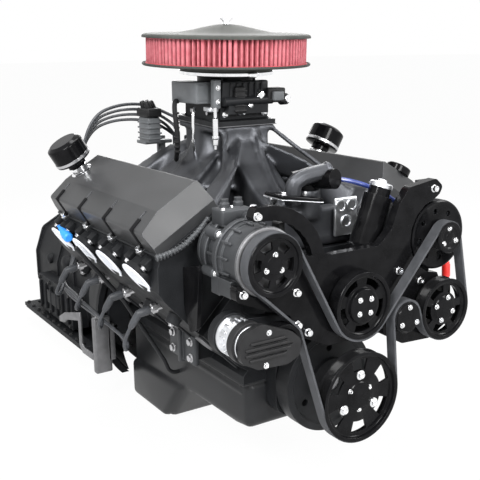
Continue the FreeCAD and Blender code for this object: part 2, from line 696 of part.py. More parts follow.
def cover(side, name):
    front_y = -494.0 - (D["bank_stagger"] if side > 0 else 0.0)
    h, s = D["cover_height"], RAIL_SPAN
    place = rail_place(side, front_y + D["cover_length"] / 2)
    whole = [cover_block(name + "_outside", place, 0.0)]
    hollow = cover_block(name + "_inside", place, D["cover_wall"])
    cuts, holes = [], []
    for i, y in enumerate(LUGS):
        lug = box("%s_lug_%d" % (name, i), (s - 3, y - 9, 0), (s + 14, y + 9, 7))
        lug.Placement = place.multiply(lug.Placement)
        whole.append(lug)
        cuts.append(box("%s_groove_%d" % (name, i), (s - 2.2, y - 4.5, 7), (s + 9, y + 4.5, h * 0.62)))
        hook = box("%s_hook_%d" % (name, i), (0, 0, 0), (60, 9, 12))
        hook.Placement = PLACE(V(s - 44, y - 4.5, h * 0.985 - 2.2), ROT(V(0, 1, 0), 14))
        cuts.append(hook)
        holes.append(cyl("%s_lug_bore_%d" % (name, i), 3.2, 40, PLACE(V(s + 6.5, y, -20), ROT())))
    vent_y = -195 if side < 0 else 75
    holes.append(cyl(name + "_vent_bore", 16.2, 60, PLACE(V(62, vent_y, h - 30), ROT())))
    if side > 0:
        holes.append(cyl(name + "_fill_bore", 20.2, 60, PLACE(V(62, -205, h - 30), ROT())))
    tool = group(name + "_tools", cuts + holes)
    tool.Placement = place
    return node(cut(name + "_cut", fuse(name + "_all", whole), [hollow, tool]), name), place


right_cover, right_place = cover(-1, "valve_cover_right")
left_cover, left_place = cover(1, "valve_cover_left")


# Cap screw master, one size for the cover lugs and the bracket.
def screw(name, r, h):
    return cut(name, fuse(name + "_head", [cyl(name + "_cap", r, h, PLACE(V(0, 0, 1.2), ROT())),
                                           cyl(name + "_washer", r * 1.3, 1.2, PLACE())]),
               [cyl(name + "_socket", r * 0.45, h, PLACE(V(0, 0, 1.2 + h * 0.45), ROT()))])


cap_screw = screw("cap_screw", 5.6, 7)
SCREWS = []
for place in (right_place, left_place):
    for y in LUGS:
        SCREWS.append(place.multiply(PLACE(V(RAIL_SPAN + 7.4, y, 7.0), ROT())))

# Breathers: gloss cans with a cap, one on each cover, and the oil filler cap.
can = body("breather_can", PLACE())
turn(can,
     [(0, 0), (15.9, 0), (15.9, 22), (21, 24), (21, 34), (40, 36, 2), (40, 78, 5), (30, 84, 3), (0, 84)])
spots = []
for side, place, y in ((-1, right_place, -195), (1, left_place, 75)):
    spots.append(place.multiply(PLACE(V(62, y, D["cover_height"] - D["cover_wall"] + 1), ROT())))
cans = copies("breather_set", can, spots)
filler = body("filler_cap", left_place.multiply(PLACE(V(62, -205, D["cover_height"] - 5), ROT())))
turn(filler, [(0, 0), (19.9, 0), (19.9, 5.2), (26, 5.4), (26, 20, 3), (0, 22)])
node(group("cap_group", [cans, filler]), "breathers_and_filler_cap")

# Intake manifold: carburettor pad, plenum, eight runners and the valley plate.
PADY, PADZ = D["pad_y"], D["pad_height"]
TILT = PLACE(V(0, PADY, PADZ), ROT(V(1, 0, 0), D["pad_tilt"]))


def lift_place(x, y, z):
    return TILT.multiply(PLACE(V(x, y, z), ROT()))


def ring_wire(centre, across, up, w, h):
    """Closed four-sided wire, w along Y-like axis and h along up."""
    corners = [centre + across * (w * i / 2) + up * (h * j / 2) for i,
               j in ((-1, -1), (1, -1), (1, 1), (-1, 1))]
    return Part.makePolygon(corners + [corners[0]])


pad_plate = box("pad_plate", (0, 0, 0), (150, 156, 14))
pad_plate.Placement = lift_place(-75, -78, -14)
pieces = [pad_plate]
plenum = Part.makeLoft([Part.makePolygon([V(x, y, z) for x, y in
                        ((-w, PADY - l), (w, PADY - l), (w, PADY + l), (-w, PADY + l), (-w, PADY - l))])
                        for w, l, z in ((50, 96, 300), (60, 76, 459))], True, True)
pieces.append(plain("plenum", plenum))
for side in (-1, 1):
    for i, y in enumerate(bores(side)):
        port_y = y + VALVE_IN
        face = (bank(side, 250, 95.2) + bank(side, 371, 114.6)) * 0.5 + V(0, port_y, 0)
        up = V(bank(side, 371.4, 114.5) - bank(side, 249.9, 95)).normalize()
        flat = V(0, 1, 0)
        out = ring_wire(face - V(0, 0, -6), flat, up, 62, 78)
        slot = V(side * 30, PADY + (port_y - PADY) * 0.36, 408)
        start = ring_wire(slot, flat, V(-side * 0.35, 0, 1).normalize(), 44, 70)
        mid_c = V(side * 88, PADY + (port_y - PADY) * 0.78, 372)
        middle = ring_wire(mid_c, flat, V(side * -0.45, 0, 1).normalize(), 48, 66)
        pieces.append(plain("runner_%d_%d" % (side + 1, i),
                            Part.makeLoft([start, middle, out], True, True)))
for side in (-1, 1):
    edge = [bank(side, 252, 95.6), bank(side, 369, 114.3), bank(side, 367, 124), bank(side, 250, 106)]
    pieces.append(prism("intake_flange_%d" % (side + 1), [(p.x, p.z) for p in edge],
                        front(0, -24, 0), 476))
pieces.append(prism("valley_plate", [(-109.0, 244.4), (109.0, 244.4), (121, 264), (-121, 264)],
                    front(0, -6, 0), 509))
pieces.append(box("front_crossover", (-95, -512, 262), (95, -470, 318)))
pieces.append(cyl("outlet_boss", 31, 60, PLACE(V(14, -492, 300), ROT())))
pieces.append(cyl("dist_boss", 34, 40, PLACE(V(0, -50, 262), ROT())))
trims = [cyl("plenum_bore_%d" % i, 21.5, 60, lift_place(x, y, -50))
         for i, (x, y) in enumerate(((-33, -33), (33, -33), (-33, 33), (33, 33)))]
trims.append(box("plenum_hollow", (-42, PADY - 66, 330), (42, PADY + 66, 440)))
trims.append(cyl("dist_hole", 27.2, 120, PLACE(V(0, -50, 230), ROT())))
trims.append(cyl("outlet_hole", 22, 60, PLACE(V(14, -492, 320), ROT())))
for side in (-1, 1):
    trims.append(prism("head_clear_%d" % (side + 1), [(p.x, p.z) for p in (
        bank(side, 230, 91.8), bank(side, 249.9, 95), bank(side, 371.4, 114.5), bank(side, 425, 123.1),
        bank(side, 425, 0), bank(side, 230, 0))], front(0, 60, 0), 700))
intake = cut("intake_cut", fuse("intake_all", pieces), trims)
node(intake, "intake_manifold")

# Throttle body with four bores, injection cover, shafts and blades.
core = [box("tb_base", (-75, -78, 0), (75, 78, 10)),
        box("tb_body", (-63, -66, 9), (63, 66, 72)),
        cyl("tb_neck", 62, 36, PLACE(V(0, 0, 66), ROT())),
        box("tb_rail_front", (-48, -90, 26), (48, -64, 60)),
        box("tb_rail_rear", (-48, 64, 26), (48, 90, 60)),
        cyl("tb_fuel_front", 9, 118, PLACE(V(-59, -86, 52), ROT(V(0, 1, 0), 90))),
        cyl("cleaner_stud", 3.1, 131, PLACE(V(0, 0, 75), ROT()))]
bore_spots = [(-33, -33), (33, -33), (-33, 33), (33, 33)]
holes = [cyl("tb_bore_%d" % i, 21.5, 120, PLACE(V(x, y, -5), ROT())) for i,
         (x, y) in enumerate(bore_spots)]
holes.append(cut("tb_air", cyl("tb_air_outer", 58, 60, PLACE(V(0, 0, 74), ROT())),
                 [cyl("tb_air_post", 10, 90, PLACE(V(0, 0, 60), ROT()))]))
for i, y in enumerate((-33, 33)):
    holes.append(cyl("tb_shaft_bore_%d" % i, 4.03, 200, PLACE(V(-100, y, 24), ROT(V(0, 1, 0), 90))))
tb = cut("tb", fuse("tb_all", core), holes)
tb.Placement = TILT
node(tb, "throttle_body")


def throttle(name, y):
    blades = [plain("%s_blade_%d" % (name, i), Part.makeCylinder(21.2, 1.6, V(x, 0, -0.8)))
              for i, x in enumerate((-33, 33))]
    items = [cyl(name + "_rod", 4.0, 148, PLACE(V(-68, 0, 0), ROT(V(0, 1, 0), 90)))] + blades
    items.append(prism(name + "_lever", [(-8, -8, 4), (8, -8, 4), (7, 30, 6), (-7, 30, 6)],
                       PLACE(V(74, 0, 0), ROT(V(0, 0, 1), V(1, 0, 0))), 4))
    f = fuse(name, items)
    f.Placement = lift_place(0, y, 24)
    return f


node(throttle("shaft_front", -33), "throttle_shaft_front")
node(throttle("shaft_rear", 33), "throttle_shaft_rear")
ecu_box = body("ecu_cover", lift_place(0, 0, 34))
pad(ecu_box, rounded([(-63.3, -52, 2), (-63.3, 52, 2), (-104, 52, 8), (-104, -52, 8)]), 38)
node(ecu_box, "injection_cover")

# Air cleaner: base pan, filter element, lid and wing nut on one stud.
CR = D["cleaner_radius"]
base = body("cleaner_base", lift_place(0, 0, 100))
turn(base, [(62.3, -4), (64, -4), (64, 2.4), (98, 2.4), (98, 19, 3), (CR, 19), (CR, 25), (CR - 1.6, 25),
            (CR - 1.6, 20.6),
            (96.4, 20.6, 3), (96.4, 4.0), (62.3, 4.0)])
node(base, "air_cleaner_base")
ELEM = 100 + 21.0
element = body("cleaner_element", lift_place(0, 0, ELEM))
turn(element, [(142, 0), (170, 0), (170, 6), (168.4, 6), (168.4, D["element_height"] - 6),
               (170, D["element_height"] - 6), (170, D["element_height"]), (142, D["element_height"])])
node(element, "filter_element")
LIDZ = ELEM + D["element_height"] - 1.3
lid = body("cleaner_lid", lift_place(0, 0, LIDZ))
turn(lid, [(4.2, 22), (22, 20.6, 20), (60, 11.6, 60), (104, 4.6, 40), (CR - 6, 3.6, 5), (CR, -1, 3),
           (CR, -5), (CR - 1.6, -5), (CR - 1.6, -2, 1), (CR - 5.5, 1.8, 3), (104, 3, 40), (60, 10, 60),
           (22, 19, 20), (4.2, 20.4)])
node(lid, "air_cleaner_lid")
nut = cut("wing_nut_part", fuse("wing_nut_all", [
    cone("wing_hub", 8, 6, 7, PLACE()),
    prism("wings", [(-5, 1), (5, 1), (10, 7, 3), (16, 11, 1.5), (12, 13, 2), (4, 6, 2), (-4, 6, 2),
                    (-12, 13, 2), (-16, 11, 1.5), (-10, 7, 3)],
          PLACE(V(0, 1.6, 0),
                ROT(V(1, 0, 0), 90)), 3.2)]), [cyl("wing_bore", 3.15, 60, PLACE(V(0, 0, -5), ROT()))])
nut.Placement = lift_place(0, 0, LIDZ + 22.1)
node(nut, "wing_nut")


# Oil pan: shallow front, sloped to a deep rear sump, hollow.
def pan_profile(inset):
    d, f = D["sump_depth"] - inset, D["sump_shallow"] - inset
    lo, hi = -D[BL] + 1 + inset, -5.0 - inset
    return [(lo, 1.0 * (inset > 0)), (lo, -f, 14), (-400, -f, 30), (-212, -d, 24), (hi, -d, 16),
            (hi, 1.0 * (inset > 0))]


def pan_block(name, inset, half_width):
    place = PLACE(V(-half_width, 0, 0), ROT(V(1, 1, 1), 120))
    return prism(name, pan_profile(inset), place, 2 * half_width)


shell = fuse("pan_outer", [pan_block("pan_body", 0.0, 128.0),
                           box("pan_rail", (-150, -D[BL] + 1, -6), (150, -5, 0)),
                           box("pan_kick", (-150, -205, -D["sump_depth"] + 6), (150, -30, -120))])
pan = cut("pan", shell,
          [pan_block("pan_hollow", 4.0, 124.0), box("pan_cap_gap", (-76, -540, -64), (76, 10, 1))])
node(pan, "oil_pan")

# Crank-driven front pieces.
FY = -D["front_y"]


def pulley(name, x, z, r, hub, y_front, width, windows, dish=8.0, bore=8.0, ribs=True, wr=None):
    """Rim, recessed web with openings and a hub; z runs to the engine front."""
    b = body(name, front(x, y_front + num(width), z))
    w = num(width)
    rim = 5.0
    g = r - 3.0
    if ribs:
        edge = [(r, 0), (r, 1.6), (g, 2.2)]
        for k in range(6):
            z0 = 2.4 + k * 3.56
            edge += [(g, z0 + 0.5), (g - 2.2, z0 + 1.8), (g, z0 + 3.1)]
        edge += [(g, w - 2.2), (r, w - 1.6), (r, w)]
    else:
        edge = [(r, 0), (r, w)]
    web0, web1 = w - dish - 5.0, w - dish
    pts = [(0, 0), (hub, 0), (hub, web0), (g - 4 - rim, web0), (g - 4 - rim, 0)] + edge
    pts += [(g - 4 - rim + 2, w), (g - 4 - rim, w - 2), (g - 4 - rim, web1), (hub * 0.8, web1),
            (hub * 0.8, w - 1.0, 2),
            (0, w - 1.0)]
    turn(b, pts)
    if windows:
        r1, r2 = hub + 4, g - rim - 8
        mid = math.pi / windows
        h1, h2 = r1 * math.sin(mid) * 0.55, r2 * math.sin(mid) * 0.66
        pocket(b, window(r1, r2, h1, h2), 60, web0, count=windows)
    return b


crank_pul = pulley("crank_pulley_body", 0, 0, D["crank_pulley"], 40, FY, "pulley_width", 6, dish=6)
DY = -D[BL] - D["timing_depth"] - 3.0
damper = body("damper_body", front(0, DY, 0))
DR, DW = D["damper_radius"], D["damper_width"]
turn(damper, [(19.0, -12), (26, -12), (26, 0), (DR - 14, 0), (DR - 14, 2), (DR, 2), (DR, DW - 6, 2),
              (DR - 14, DW - 6), (DR - 18, DW - 10), (46, DW - 10), (46, DW), (19.0, DW)])
pocket(damper, circle(0, 66, 7), 60, DW / 2, count=3)
node(damper, "harmonic_damper")
spacer = body("pulley_spacer", front(0, DY - DW, 0))
turn(spacer,
     [(0, 0), (42, 0), (42, -FY - D["pulley_width"] + DY - DW), (0, -FY - D["pulley_width"] + DY - DW)])
node(fuse("crank_pulley_all", [crank_pul, spacer]), "crank_pulley")

# Driven pulleys on one belt plane.
node(pulley("pump_pulley_body", 0, D["pump_height"], D["pump_pulley"], 26, FY, "pulley_width", 5,
            ribs=False),
     "water_pump_pulley")
node(pulley("clutch_pulley_body", D["clutch_x"], D["clutch_z"], D["clutch_pulley"], 16, FY,
            "pulley_width", 6,
            dish=4), "compressor_pulley")
node(pulley("alt_pulley_body", D["alt_x"], D["alt_z"], D["alt_pulley"], 12, FY, "pulley_width", 0, dish=3),
     "alternator_pulley")
node(pulley("steer_pulley_body", D["steer_x"], D["steer_z"], D["steer_pulley"], 22, FY, "pulley_width", 5,
            dish=5), "steering_pump_pulley")
node(pulley("idler_body", D["idler_x"], D["idler_z"], D["idler_radius"], 13, FY, "pulley_width", 0, dish=3,
            ribs=False), "idler_pulley")
node(pulley("tens_pulley_body", D["tens_x"], D["tens_z"], D["tens_radius"], 14, FY, "pulley_width", 0,
            dish=3,
            ribs=False), "tensioner_pulley")

# Serpentine belt, closed loop round eight pulleys.
STATIONS = [(0, 0, D["crank_pulley"] - 3, True), (D["idler_x"], D["idler_z"], D["idler_radius"], False),
            (D["steer_x"], D["steer_z"], D["steer_pulley"] - 3, True),
            (D["alt_x"], D["alt_z"], D["alt_pulley"] - 3, True),
            (0, D["pump_height"], D["pump_pulley"], False),
            (D["clutch_x"], D["clutch_z"], D["clutch_pulley"] - 3, True),
            (D["tens_x"], D["tens_z"], D["tens_radius"], False)]
belt_back = FY + D["pulley_width"] / 2 + D["belt_width"] / 2
belt = band("belt", STATIONS, D["belt_gap"], D["belt_gap"] + D["belt_thick"], belt_back, "belt_width")
node(belt, "serpentine_belt")

# Accessory bracket: one plate behind the belt plane.
PY = FY + D["pulley_width"] + 4.0 + D["plate_thick"]


def arc_points(cx, cz, r, a0, a1, steps):
    return [(cx + r * math.cos(math.radians(a0 + (a1 - a0) * i / steps)),
             cz + r * math.sin(math.radians(a0 + (a1 - a0) * i / steps))) for i in range(steps + 1)]


plate_pts = [(-222, 350, 8), (-212, 374, 8)]
plate_pts += arc_points(-188, 252, 122, 96, 12, 8)
plate_pts += [(-52, 272, 10), (58, 272, 14), (88, 300, 20), (104, 342, 20), (128, 372, 14), (196, 382, 10),
              (214, 366, 8), (206, 352, 6)]
plate_pts += arc_points(D["alt_x"], D["alt_z"], 74, 100, 270, 8)
plate_pts += [(214, 186, 8), (246, 176, 16), (250, 96, 24), (196, 66, 24), (122, 70, 16), (62, 104, 10),
              (-58, 104, 10),
              (-96, 122, 14), (-136, 140, 10), (-140, 176, 10), (-196, 196, 12), (-250, 220, 10), (-252,
                                                                                                   240, 8),
              (-236, 244, 4)]
plate_pts += arc_points(D["clutch_x"], D["clutch_z"], 63.5, 212, 362, 8)
plate_pts += arc_points(-188, 252, 97, 14, 92, 7)
b = body("bracket_plate", front(0, PY, 0))
pad(b, rounded(plate_pts), "plate_thick")
pocket(b, circle(0, D["pump_height"], 46), 60)
pocket(b, circle(D["steer_x"], D["steer_z"], 26), 60)
BOLTS = [(-209, 359), (-238, 231), (-129, 216), (-127, 157), (-104, 139), (107, 217), (163, 188),
         (190, 364)]
posts = [b, cyl("idler_boss", 12, 4, front(D["idler_x"], PY - D["plate_thick"], D["idler_z"]))]
for i, (x, z,
        y1) in enumerate(((-100, 233, -D[BL]), (100, 233, -D[BL]), (-75, 205, -596), (75, 205, -596))):
    posts.append(cyl("post_%d" % i, 9.5, y1 - PY, front(x, y1, z)))
main_bracket = fuse("bracket_all", posts)
# Rear plate of the compressor, bolted to the head and the compressor ear.
side_plate = prism("side_plate_body",
                   [(-560, 262, 8), (-500, 246), (-500, 178), (-520, 128, 8), (-545, 140, 8)],
                   PLACE(V(-262, 0, 0), ROT(V(1, 1, 1), 120)), 8)
node(group("bracket_pair", [main_bracket, side_plate]), "accessory_brackets")
SCREWS += [front(x, PY - D["plate_thick"], z) for x, z in BOLTS]
node(copies("screw_set", cap_screw, SCREWS), "cap_screws")

# Water pump: body on the centreline, two legs to the block, shaft and impeller.
wp = fuse("wp_all", [cyl("wp_body", 60, 46, front(0, -559, D["pump_height"])),
                     cyl("wp_snout", 30, 88, front(0, -559, D["pump_height"])),
                     prism("wp_legs",
                           [(-150, 146, 8), (150, 146, 8), (150, 192, 8), (60, 236, 12), (-60, 236, 12),
                                       (-150, 192, 8)], front(0, -562, 0), 34),
                     box("wp_leg_a", (-150, -564, 146), (-104, -D[BL], 192)),
                     box("wp_leg_b", (104, -564, 146), (150, -D[BL], 192))])
wp = cut("wp", wp, [cyl("wp_cavity", 46, 26, front(0, -563, D["pump_height"])),
                    cyl("wp_bore", 8.05, 120, front(0, -560, D["pump_height"]))])
node(wp, "water_pump_housing")
WS = FY + D["pulley_width"]
impeller = fuse("wp_rotor", [cyl("wp_shaft", 8.0, -WS - 568, front(0, -568, D["pump_height"])),
                             cyl("wp_disc", 42, 3, front(0, -566, D["pump_height"]))] + [
    plain("vane_%d" % i, Part.makeBox(30, 12, 3, V(10, 0, -1.5)).transformGeometry(
        PLACE(V(0, -581, D["pump_height"]), ROT(V(0, 1, 0), 60 * i)).Matrix)) for i in range(6)])
node(impeller, "water_pump_impeller")

# Thermostat housing, reservoir, compressor, alternator and steering pump.
neck = fuse("neck_all", [cyl("neck_base", 33, 9, PLACE(V(14, -492, 360.3), ROT())),
                         cyl("neck_dome", 25, 30, PLACE(V(14, -492, 360.3), ROT())),
                         cyl("neck_tube", 19, 66, along((16, -500, 378), (0.25, -0.96, 0.1)))])
node(neck, "thermostat_housing")
CX, CZ = D["clutch_x"], D["clutch_z"]
comp = body("comp_body", front(CX, -528, CZ))
CL = -WS - 528
turn(comp,
     [(0, 0), (40, 0), (44, 4), (54, 4, 3), (54, 26), (58, 28), (58, 34), (54, 36), (54, 60), (60, 62),
      (60, 84),
            (57, 86), (57, CL - 14), (60, CL - 12), (60, CL - 4), (20, CL - 4), (20, CL), (0, CL)])
ears = [box("comp_ear_a", (CX - 58, -606, CZ - 62), (CX - 38, -578, CZ - 30)),
        box("comp_ear_b", (CX + 30, -606, CZ - 66), (CX + 60, -578, CZ - 40)),
        box("comp_ear_c", (-250, PY, 221), (-226, -600, 250)), box("comp_ear_d", (-142, PY, 206),
                                                                   (-116, -600, 236)),
        box("comp_ports", (CX - 26, -560, CZ + 44), (CX + 20, -530, CZ + 74))]
node(fuse("comp", [comp] + ears), "compressor")
AX, AZ = D["alt_x"], D["alt_z"]
alt = body("alt_case", front(AX, -556, AZ))
AR = D["alt_radius"]
turn(alt,
     [(0, 0), (48, 0), (62, 8, 6), (64, 38), (60, 40), (60, 46), (64, 48), (AR, 84), (AR, 92),
      (AR - 5, 97),
           (24, 97), (22, -556 - WS), (0, -556 - WS)])
pocket(alt, window(34, 58, 5, 8, 2), 24, 95, count=12)
pocket(alt, window(30, 50, 5, 8, 2), 16, 0, count=10)
ears = [box("alt_ear_a", (178, PY, 326), (206, PY + 20, 376)),
        box("alt_ear_b", (182, PY, 182), (204, PY + 24, 214))]
node(fuse("alt_all", [alt] + ears), "alternator")
SX, SZ = D["steer_x"], D["steer_z"]
steer = body("steer_case", front(SX, -560, SZ))
turn(steer, [(0, 0), (34, 0), (46, 8, 5), (46, -560 - PY, 2), (25, -560 - PY), (25, 96), (12, 96),
              (12, -560 - WS), (0, -560 - WS)])
node(steer, "steering_pump")
res = fuse("res_all", [cyl("res_can", 27, 96, along((66, -606, 262), (0.36, 0, 0.93))),
                       cyl("res_cap", 21, 14, along((100.9, -606, 352), (0.36, 0, 0.93))),
                       box("res_foot", (56, PY, 256), (84, -624, 271))])
node(res, "fluid_reservoir")

# Tensioner: spring case, swinging arm cover and its pulley.
TX, TZ = D["pivot_x"], D["pivot_z"]
case = body("tens_case", front(TX, -612, TZ))
turn(case, [(0, 0), (38, 0), (38, 18), (31, 20), (31, 78), (12, 78), (12, 88), (0, 88)])
foot = prism("tens_foot",
             [(TX + 20, TZ - 24, 6), (-104, 130, 10), (-94, 150, 10), (-110, 172, 10),
              (TX + 20, TZ + 28, 6)],
             front(0, PY + 18, 0), 18)
node(fuse("tens", [case, foot]), "tensioner_housing")
arm_pts = [(TX - 30, TZ - 22, 16), (TX - 30, TZ + 24, 18), (TX + 10, TZ + 38, 20),
           (D["tens_x"] + 6, D["tens_z"] + 27, 16),
           (D["tens_x"] + 24, D["tens_z"] + 10, 14), (D["tens_x"] + 22, D["tens_z"] - 18, 14),
           (D["tens_x"] - 4, D["tens_z"] - 28, 14), (TX + 4, TZ - 40, 18)]
arm = body("tens_arm", front(0, FY - 1.0, 0))
pad(arm, rounded(arm_pts), 12)
pocket(arm, circle(TX, TZ, 12.05), 18, 0)
for dz, x0, x1 in ((10, TX - 6, TX + 62), (0, TX - 18, TX + 72), (-11, TX - 8, TX + 60)):
    z0 = (TZ + D["tens_z"]) / 2 + dz
    pocket(arm, rounded([(x0, z0 - 1), (x1, z0 - 1), (x1, z0 + 1), (x0, z0 + 1)]), 5, 12)
stub = cyl("tens_stub", 8, 5, front(D["tens_x"], FY + 1.0, D["tens_z"]))
node(fuse("tens_arm_all", [arm, stub]), "tensioner_arm")

# Bellhousing, flexplate, starter, distributor, coil and small parts.
BR, BD = D["bell_radius"], D["bell_depth"]
bell = body("bell", PLACE(V(0, 0.0, 0), ROT(V(1, 0, 0), -90)))
turn(bell,
     [(BR - 14, 0), (BR, 0), (BR, 12), (BR - 8, 14), (BR - 34, BD - 16, 10), (BR - 44, BD), (59.5, BD),
      (59.5, BD - 8),
            (BR - 52, BD - 8), (BR - 42, BD - 22, 8), (BR - 18, 14), (BR - 14, 14)])
bell_holes = [cyl("bell_rear_hole_%d" % i, 5.0, 30, front(x, BD + 10, z))
              for i, (x, z) in enumerate(((-78.6, -71), (78.6, -71), (-78.6, 71), (78.6, 71)))]
bell_cut = cut("bell_cut", bell, [box("bell_low", (-300, -5, -400), (300, BD + 20, -150))] + bell_holes)
node(bell_cut, "bellhousing")
flex = body("flex_body", PLACE(V(0, 14.0, 0), ROT(V(1, 0, 0), -90)))
FR = D["flex_radius"]
turn(flex,
     [(20, 0), (120, 0), (128, 5), (FR - 8, 5), (FR - 8, 0), (FR, 0), (FR, 10), (FR - 8, 10),
      (FR - 8, 8), (126, 8),
            (118, 3), (20, 3)])
pocket(flex, circle(0, 84, 18), 40, count=6)
node(flex, "flexplate")
# Gearbox case behind the bellhousing: ribbed eight-sided shell, side cover, tail and oil pan.
GY, GL = BD, D["gearbox_length"]


def eight(out):
    return [(-112 - out, -150 - out), (-130 - out, -70, 20), (-130 - out, 10, 20),
            (-104 - out, 78 + out, 24),
            (-50, 112 + out, 24), (50, 112 + out, 24), (104 + out, 78 + out, 24), (130 + out, 10, 20),
            (130 + out, -70, 20), (112 + out, -150 - out)]


skirt = body("gear_skirt", PLACE(V(0, GY, 0), ROT(V(1, 0, 0), -90)))
turn(skirt, [(60, 0), (BR - 44, 0), (BR - 44, 9), (BR - 52, 12, 6), (150, 34, 20), (126, 70), (60, 70)])
skirt_low = cut("gear_skirt_low", skirt, [box("gear_skirt_cut", (-300, GY - 1, -400), (300, GY + 90, -150))])
shell = [skirt_low, prism("gear_shell", eight(0), front(0, GY + GL, 0), GL - 40),
         box("gear_side_cover", (-168, GY + 185, -140), (-120, GY + GL - 110, -34)),
         box("gear_rail", (-185, GY + 66, -160), (150, GY + GL - 6, -150)),
         cone("gear_tail", 82, 58, 96, PLACE(V(0, GY + GL - 1, 0), ROT(V(1, 0, 0), -90))),
         cyl("gear_tail_flange", 70, 10, front(0, GY + GL + 100, 0))]
shell += [prism("gear_rib_%d" % k, eight(6), front(0, GY + y, 0), 7)
          for k, y in enumerate((120, 250, 380, GL))]
void = [prism("gear_void", eight(-8), front(0, GY + GL - 8, 0), GL - 80),
        cyl("gear_front_void", 100, 90, front(0, GY + 98, 0)),
        cyl("gear_register", 60, 30, front(0, GY + 20, 0)),
        cyl("gear_tail_bore", 24.0, 130, front(0, GY + GL + 110, 0)),
        box("gear_pan_mouth", (-150, GY + 80, -170), (115, GY + GL - 20, -140))]
void += [cyl("gear_tail_hole_%d" % i, 5.0, 30, front(x, GY + GL + 110, z))
         for i, (x, z) in enumerate(((-40, -40), (40, -40), (-40, 40), (40, 40)))]
gear_case = cut("gear_case", fuse("gear_case_all", shell), void)
tray = body("gear_tray", PLACE(V(-17.5, GY + 66 + (GL - 72) / 2, -160.0), ROT()))
GH = (GL - 72) / 2
pad(tray, rounded([(-167.5, -GH, 14), (167.5, -GH, 14), (167.5, GH, 14), (-167.5, GH, 14)]), 3, back=True)
pad(tray, rounded([(-146, -GH + 20, 20), (146, -GH + 20, 20), (146, GH - 20, 20), (-146, GH - 20, 20)]), 26,
    back=True)
pocket(tray, rounded([(-143, -GH + 23, 17), (143, -GH + 23, 17), (143, GH - 23, 17),
                      (-143, GH - 23, 17)]), 23)
node(group("gear_all", [gear_case, tray]), "gearbox_case")
dist = body("dist_case", PLACE(V(0, -50, 0), ROT()))
turn(dist,
     [(0, 162), (15, 162), (15, 262), (26.8, 264), (26.8, 303), (34, 306), (44, 330), (44, 338),
      (4.2, 338), (4.2, 300), (0, 300)])
node(dist, "distributor")
rotor = fuse("dist_rotor", [cyl("rotor_shaft", 4.15, 44, PLACE(V(0, -50, 301), ROT())),
                            box("rotor_arm", (-7, -54, 341), (30, -46, 349))])
node(rotor, "distributor_rotor")
cap_body = body("dist_cap", PLACE(V(0, -50, 338.3), ROT()))
turn(cap_body, [(38, 0), (46, 0), (46, 10), (42, 40, 6), (0, 44), (0, 36), (34, 34), (38, 10)])
towers = [cyl("tower_%d" % i, 6.5, 22,
              PLACE(V(30 * math.cos(i * math.pi / 4), -50 + 30 * math.sin(i * math.pi / 4), 378), ROT()))
          for i in range(8)]
node(fuse("dist_cap_all", [cap_body] + towers), "distributor_cap")
coil = fuse("coil_all", [box("coil_case", (-118, -86, 412), (-78, -22, 512)),
                         box("coil_foot", (-62, -26, 264), (-44, -14, 426)),
                         box("coil_arm", (-118, -60, 412), (-44, -14, 426)),
                         cyl("coil_tower", 9, 16, PLACE(V(-98, -54, 512), ROT()))])
node(coil, "ignition_coil")


# Exhaust port covers, spark plugs and plug wires.
lid_pts = [(-38, -21, 20), (38, -21, 20), (38, 21, 20), (-38, 21, 20)]
port = prism("port_cover", lid_pts, PLACE(), 4)
places = []
for side in (-1, 1):
    for y in bores(side):
        places.append(PLACE(V(side * 312.3, y, 227), ROT(V(0, 1, 0), V(0, 0, 1), V(side, 0, 0), "ZXY")))
node(copies("port_covers", port, places), "port_covers")
plug = fuse("plug_all", [cyl("plug_thread", 6.9, 22, PLACE(V(0, 0, -22), ROT())),
                         cyl("plug_hex", 10, 9, PLACE()), cyl("plug_post", 5.5, 18,
                                                              PLACE(V(0, 0, 8), ROT()))])
places, boots = [], []
for side in (-1, 1):
    low = D["deck_height"] + D["gasket"]
    for y in bores(side):
        inner = bank(side, low + 8, -20, y + 8)
        seat = V(side * 279, y + 20, 150)
        d = V(seat - inner).normalize()
        places.append(along(inner + d * 82.0, d))
        boots.append((inner + d * 82.0, d, side, y))
node(copies("plug_set", plug, places), "spark_plugs")


def tube(name, points, r, bend):
    """Round tube through the points: straight runs joined by tangent arcs."""
    pts = [V(*p) for p in points]
    edges, at = [], pts[0]
    for i in range(1, len(pts) - 1):
        a, c = (pts[i - 1] - pts[i]).normalize(), (pts[i + 1] - pts[i]).normalize()
        half = math.acos(max(-1, min(1, a.dot(c)))) / 2
        room = 0.45 * min(pts[i].distanceToPoint(pts[i - 1]), pts[i].distanceToPoint(pts[i + 1]))
        rad = min(bend, room * math.tan(half))
        reach = rad / math.tan(half)
        p1, p2 = pts[i] + a * reach, pts[i] + c * reach
        mid = pts[i] + (a + c).normalize() * (rad / math.sin(half) - rad)
        edges += [Part.LineSegment(at, p1).toShape(), Part.Arc(p1, mid, p2).toShape()]
        at = p2
    edges.append(Part.LineSegment(at, pts[-1]).toShape())
    path = Part.Wire(edges)
    rim = Part.Wire(Part.makeCircle(r, pts[0], pts[1] - pts[0]))
    return plain(name, path.makePipeShell([rim], True, False))


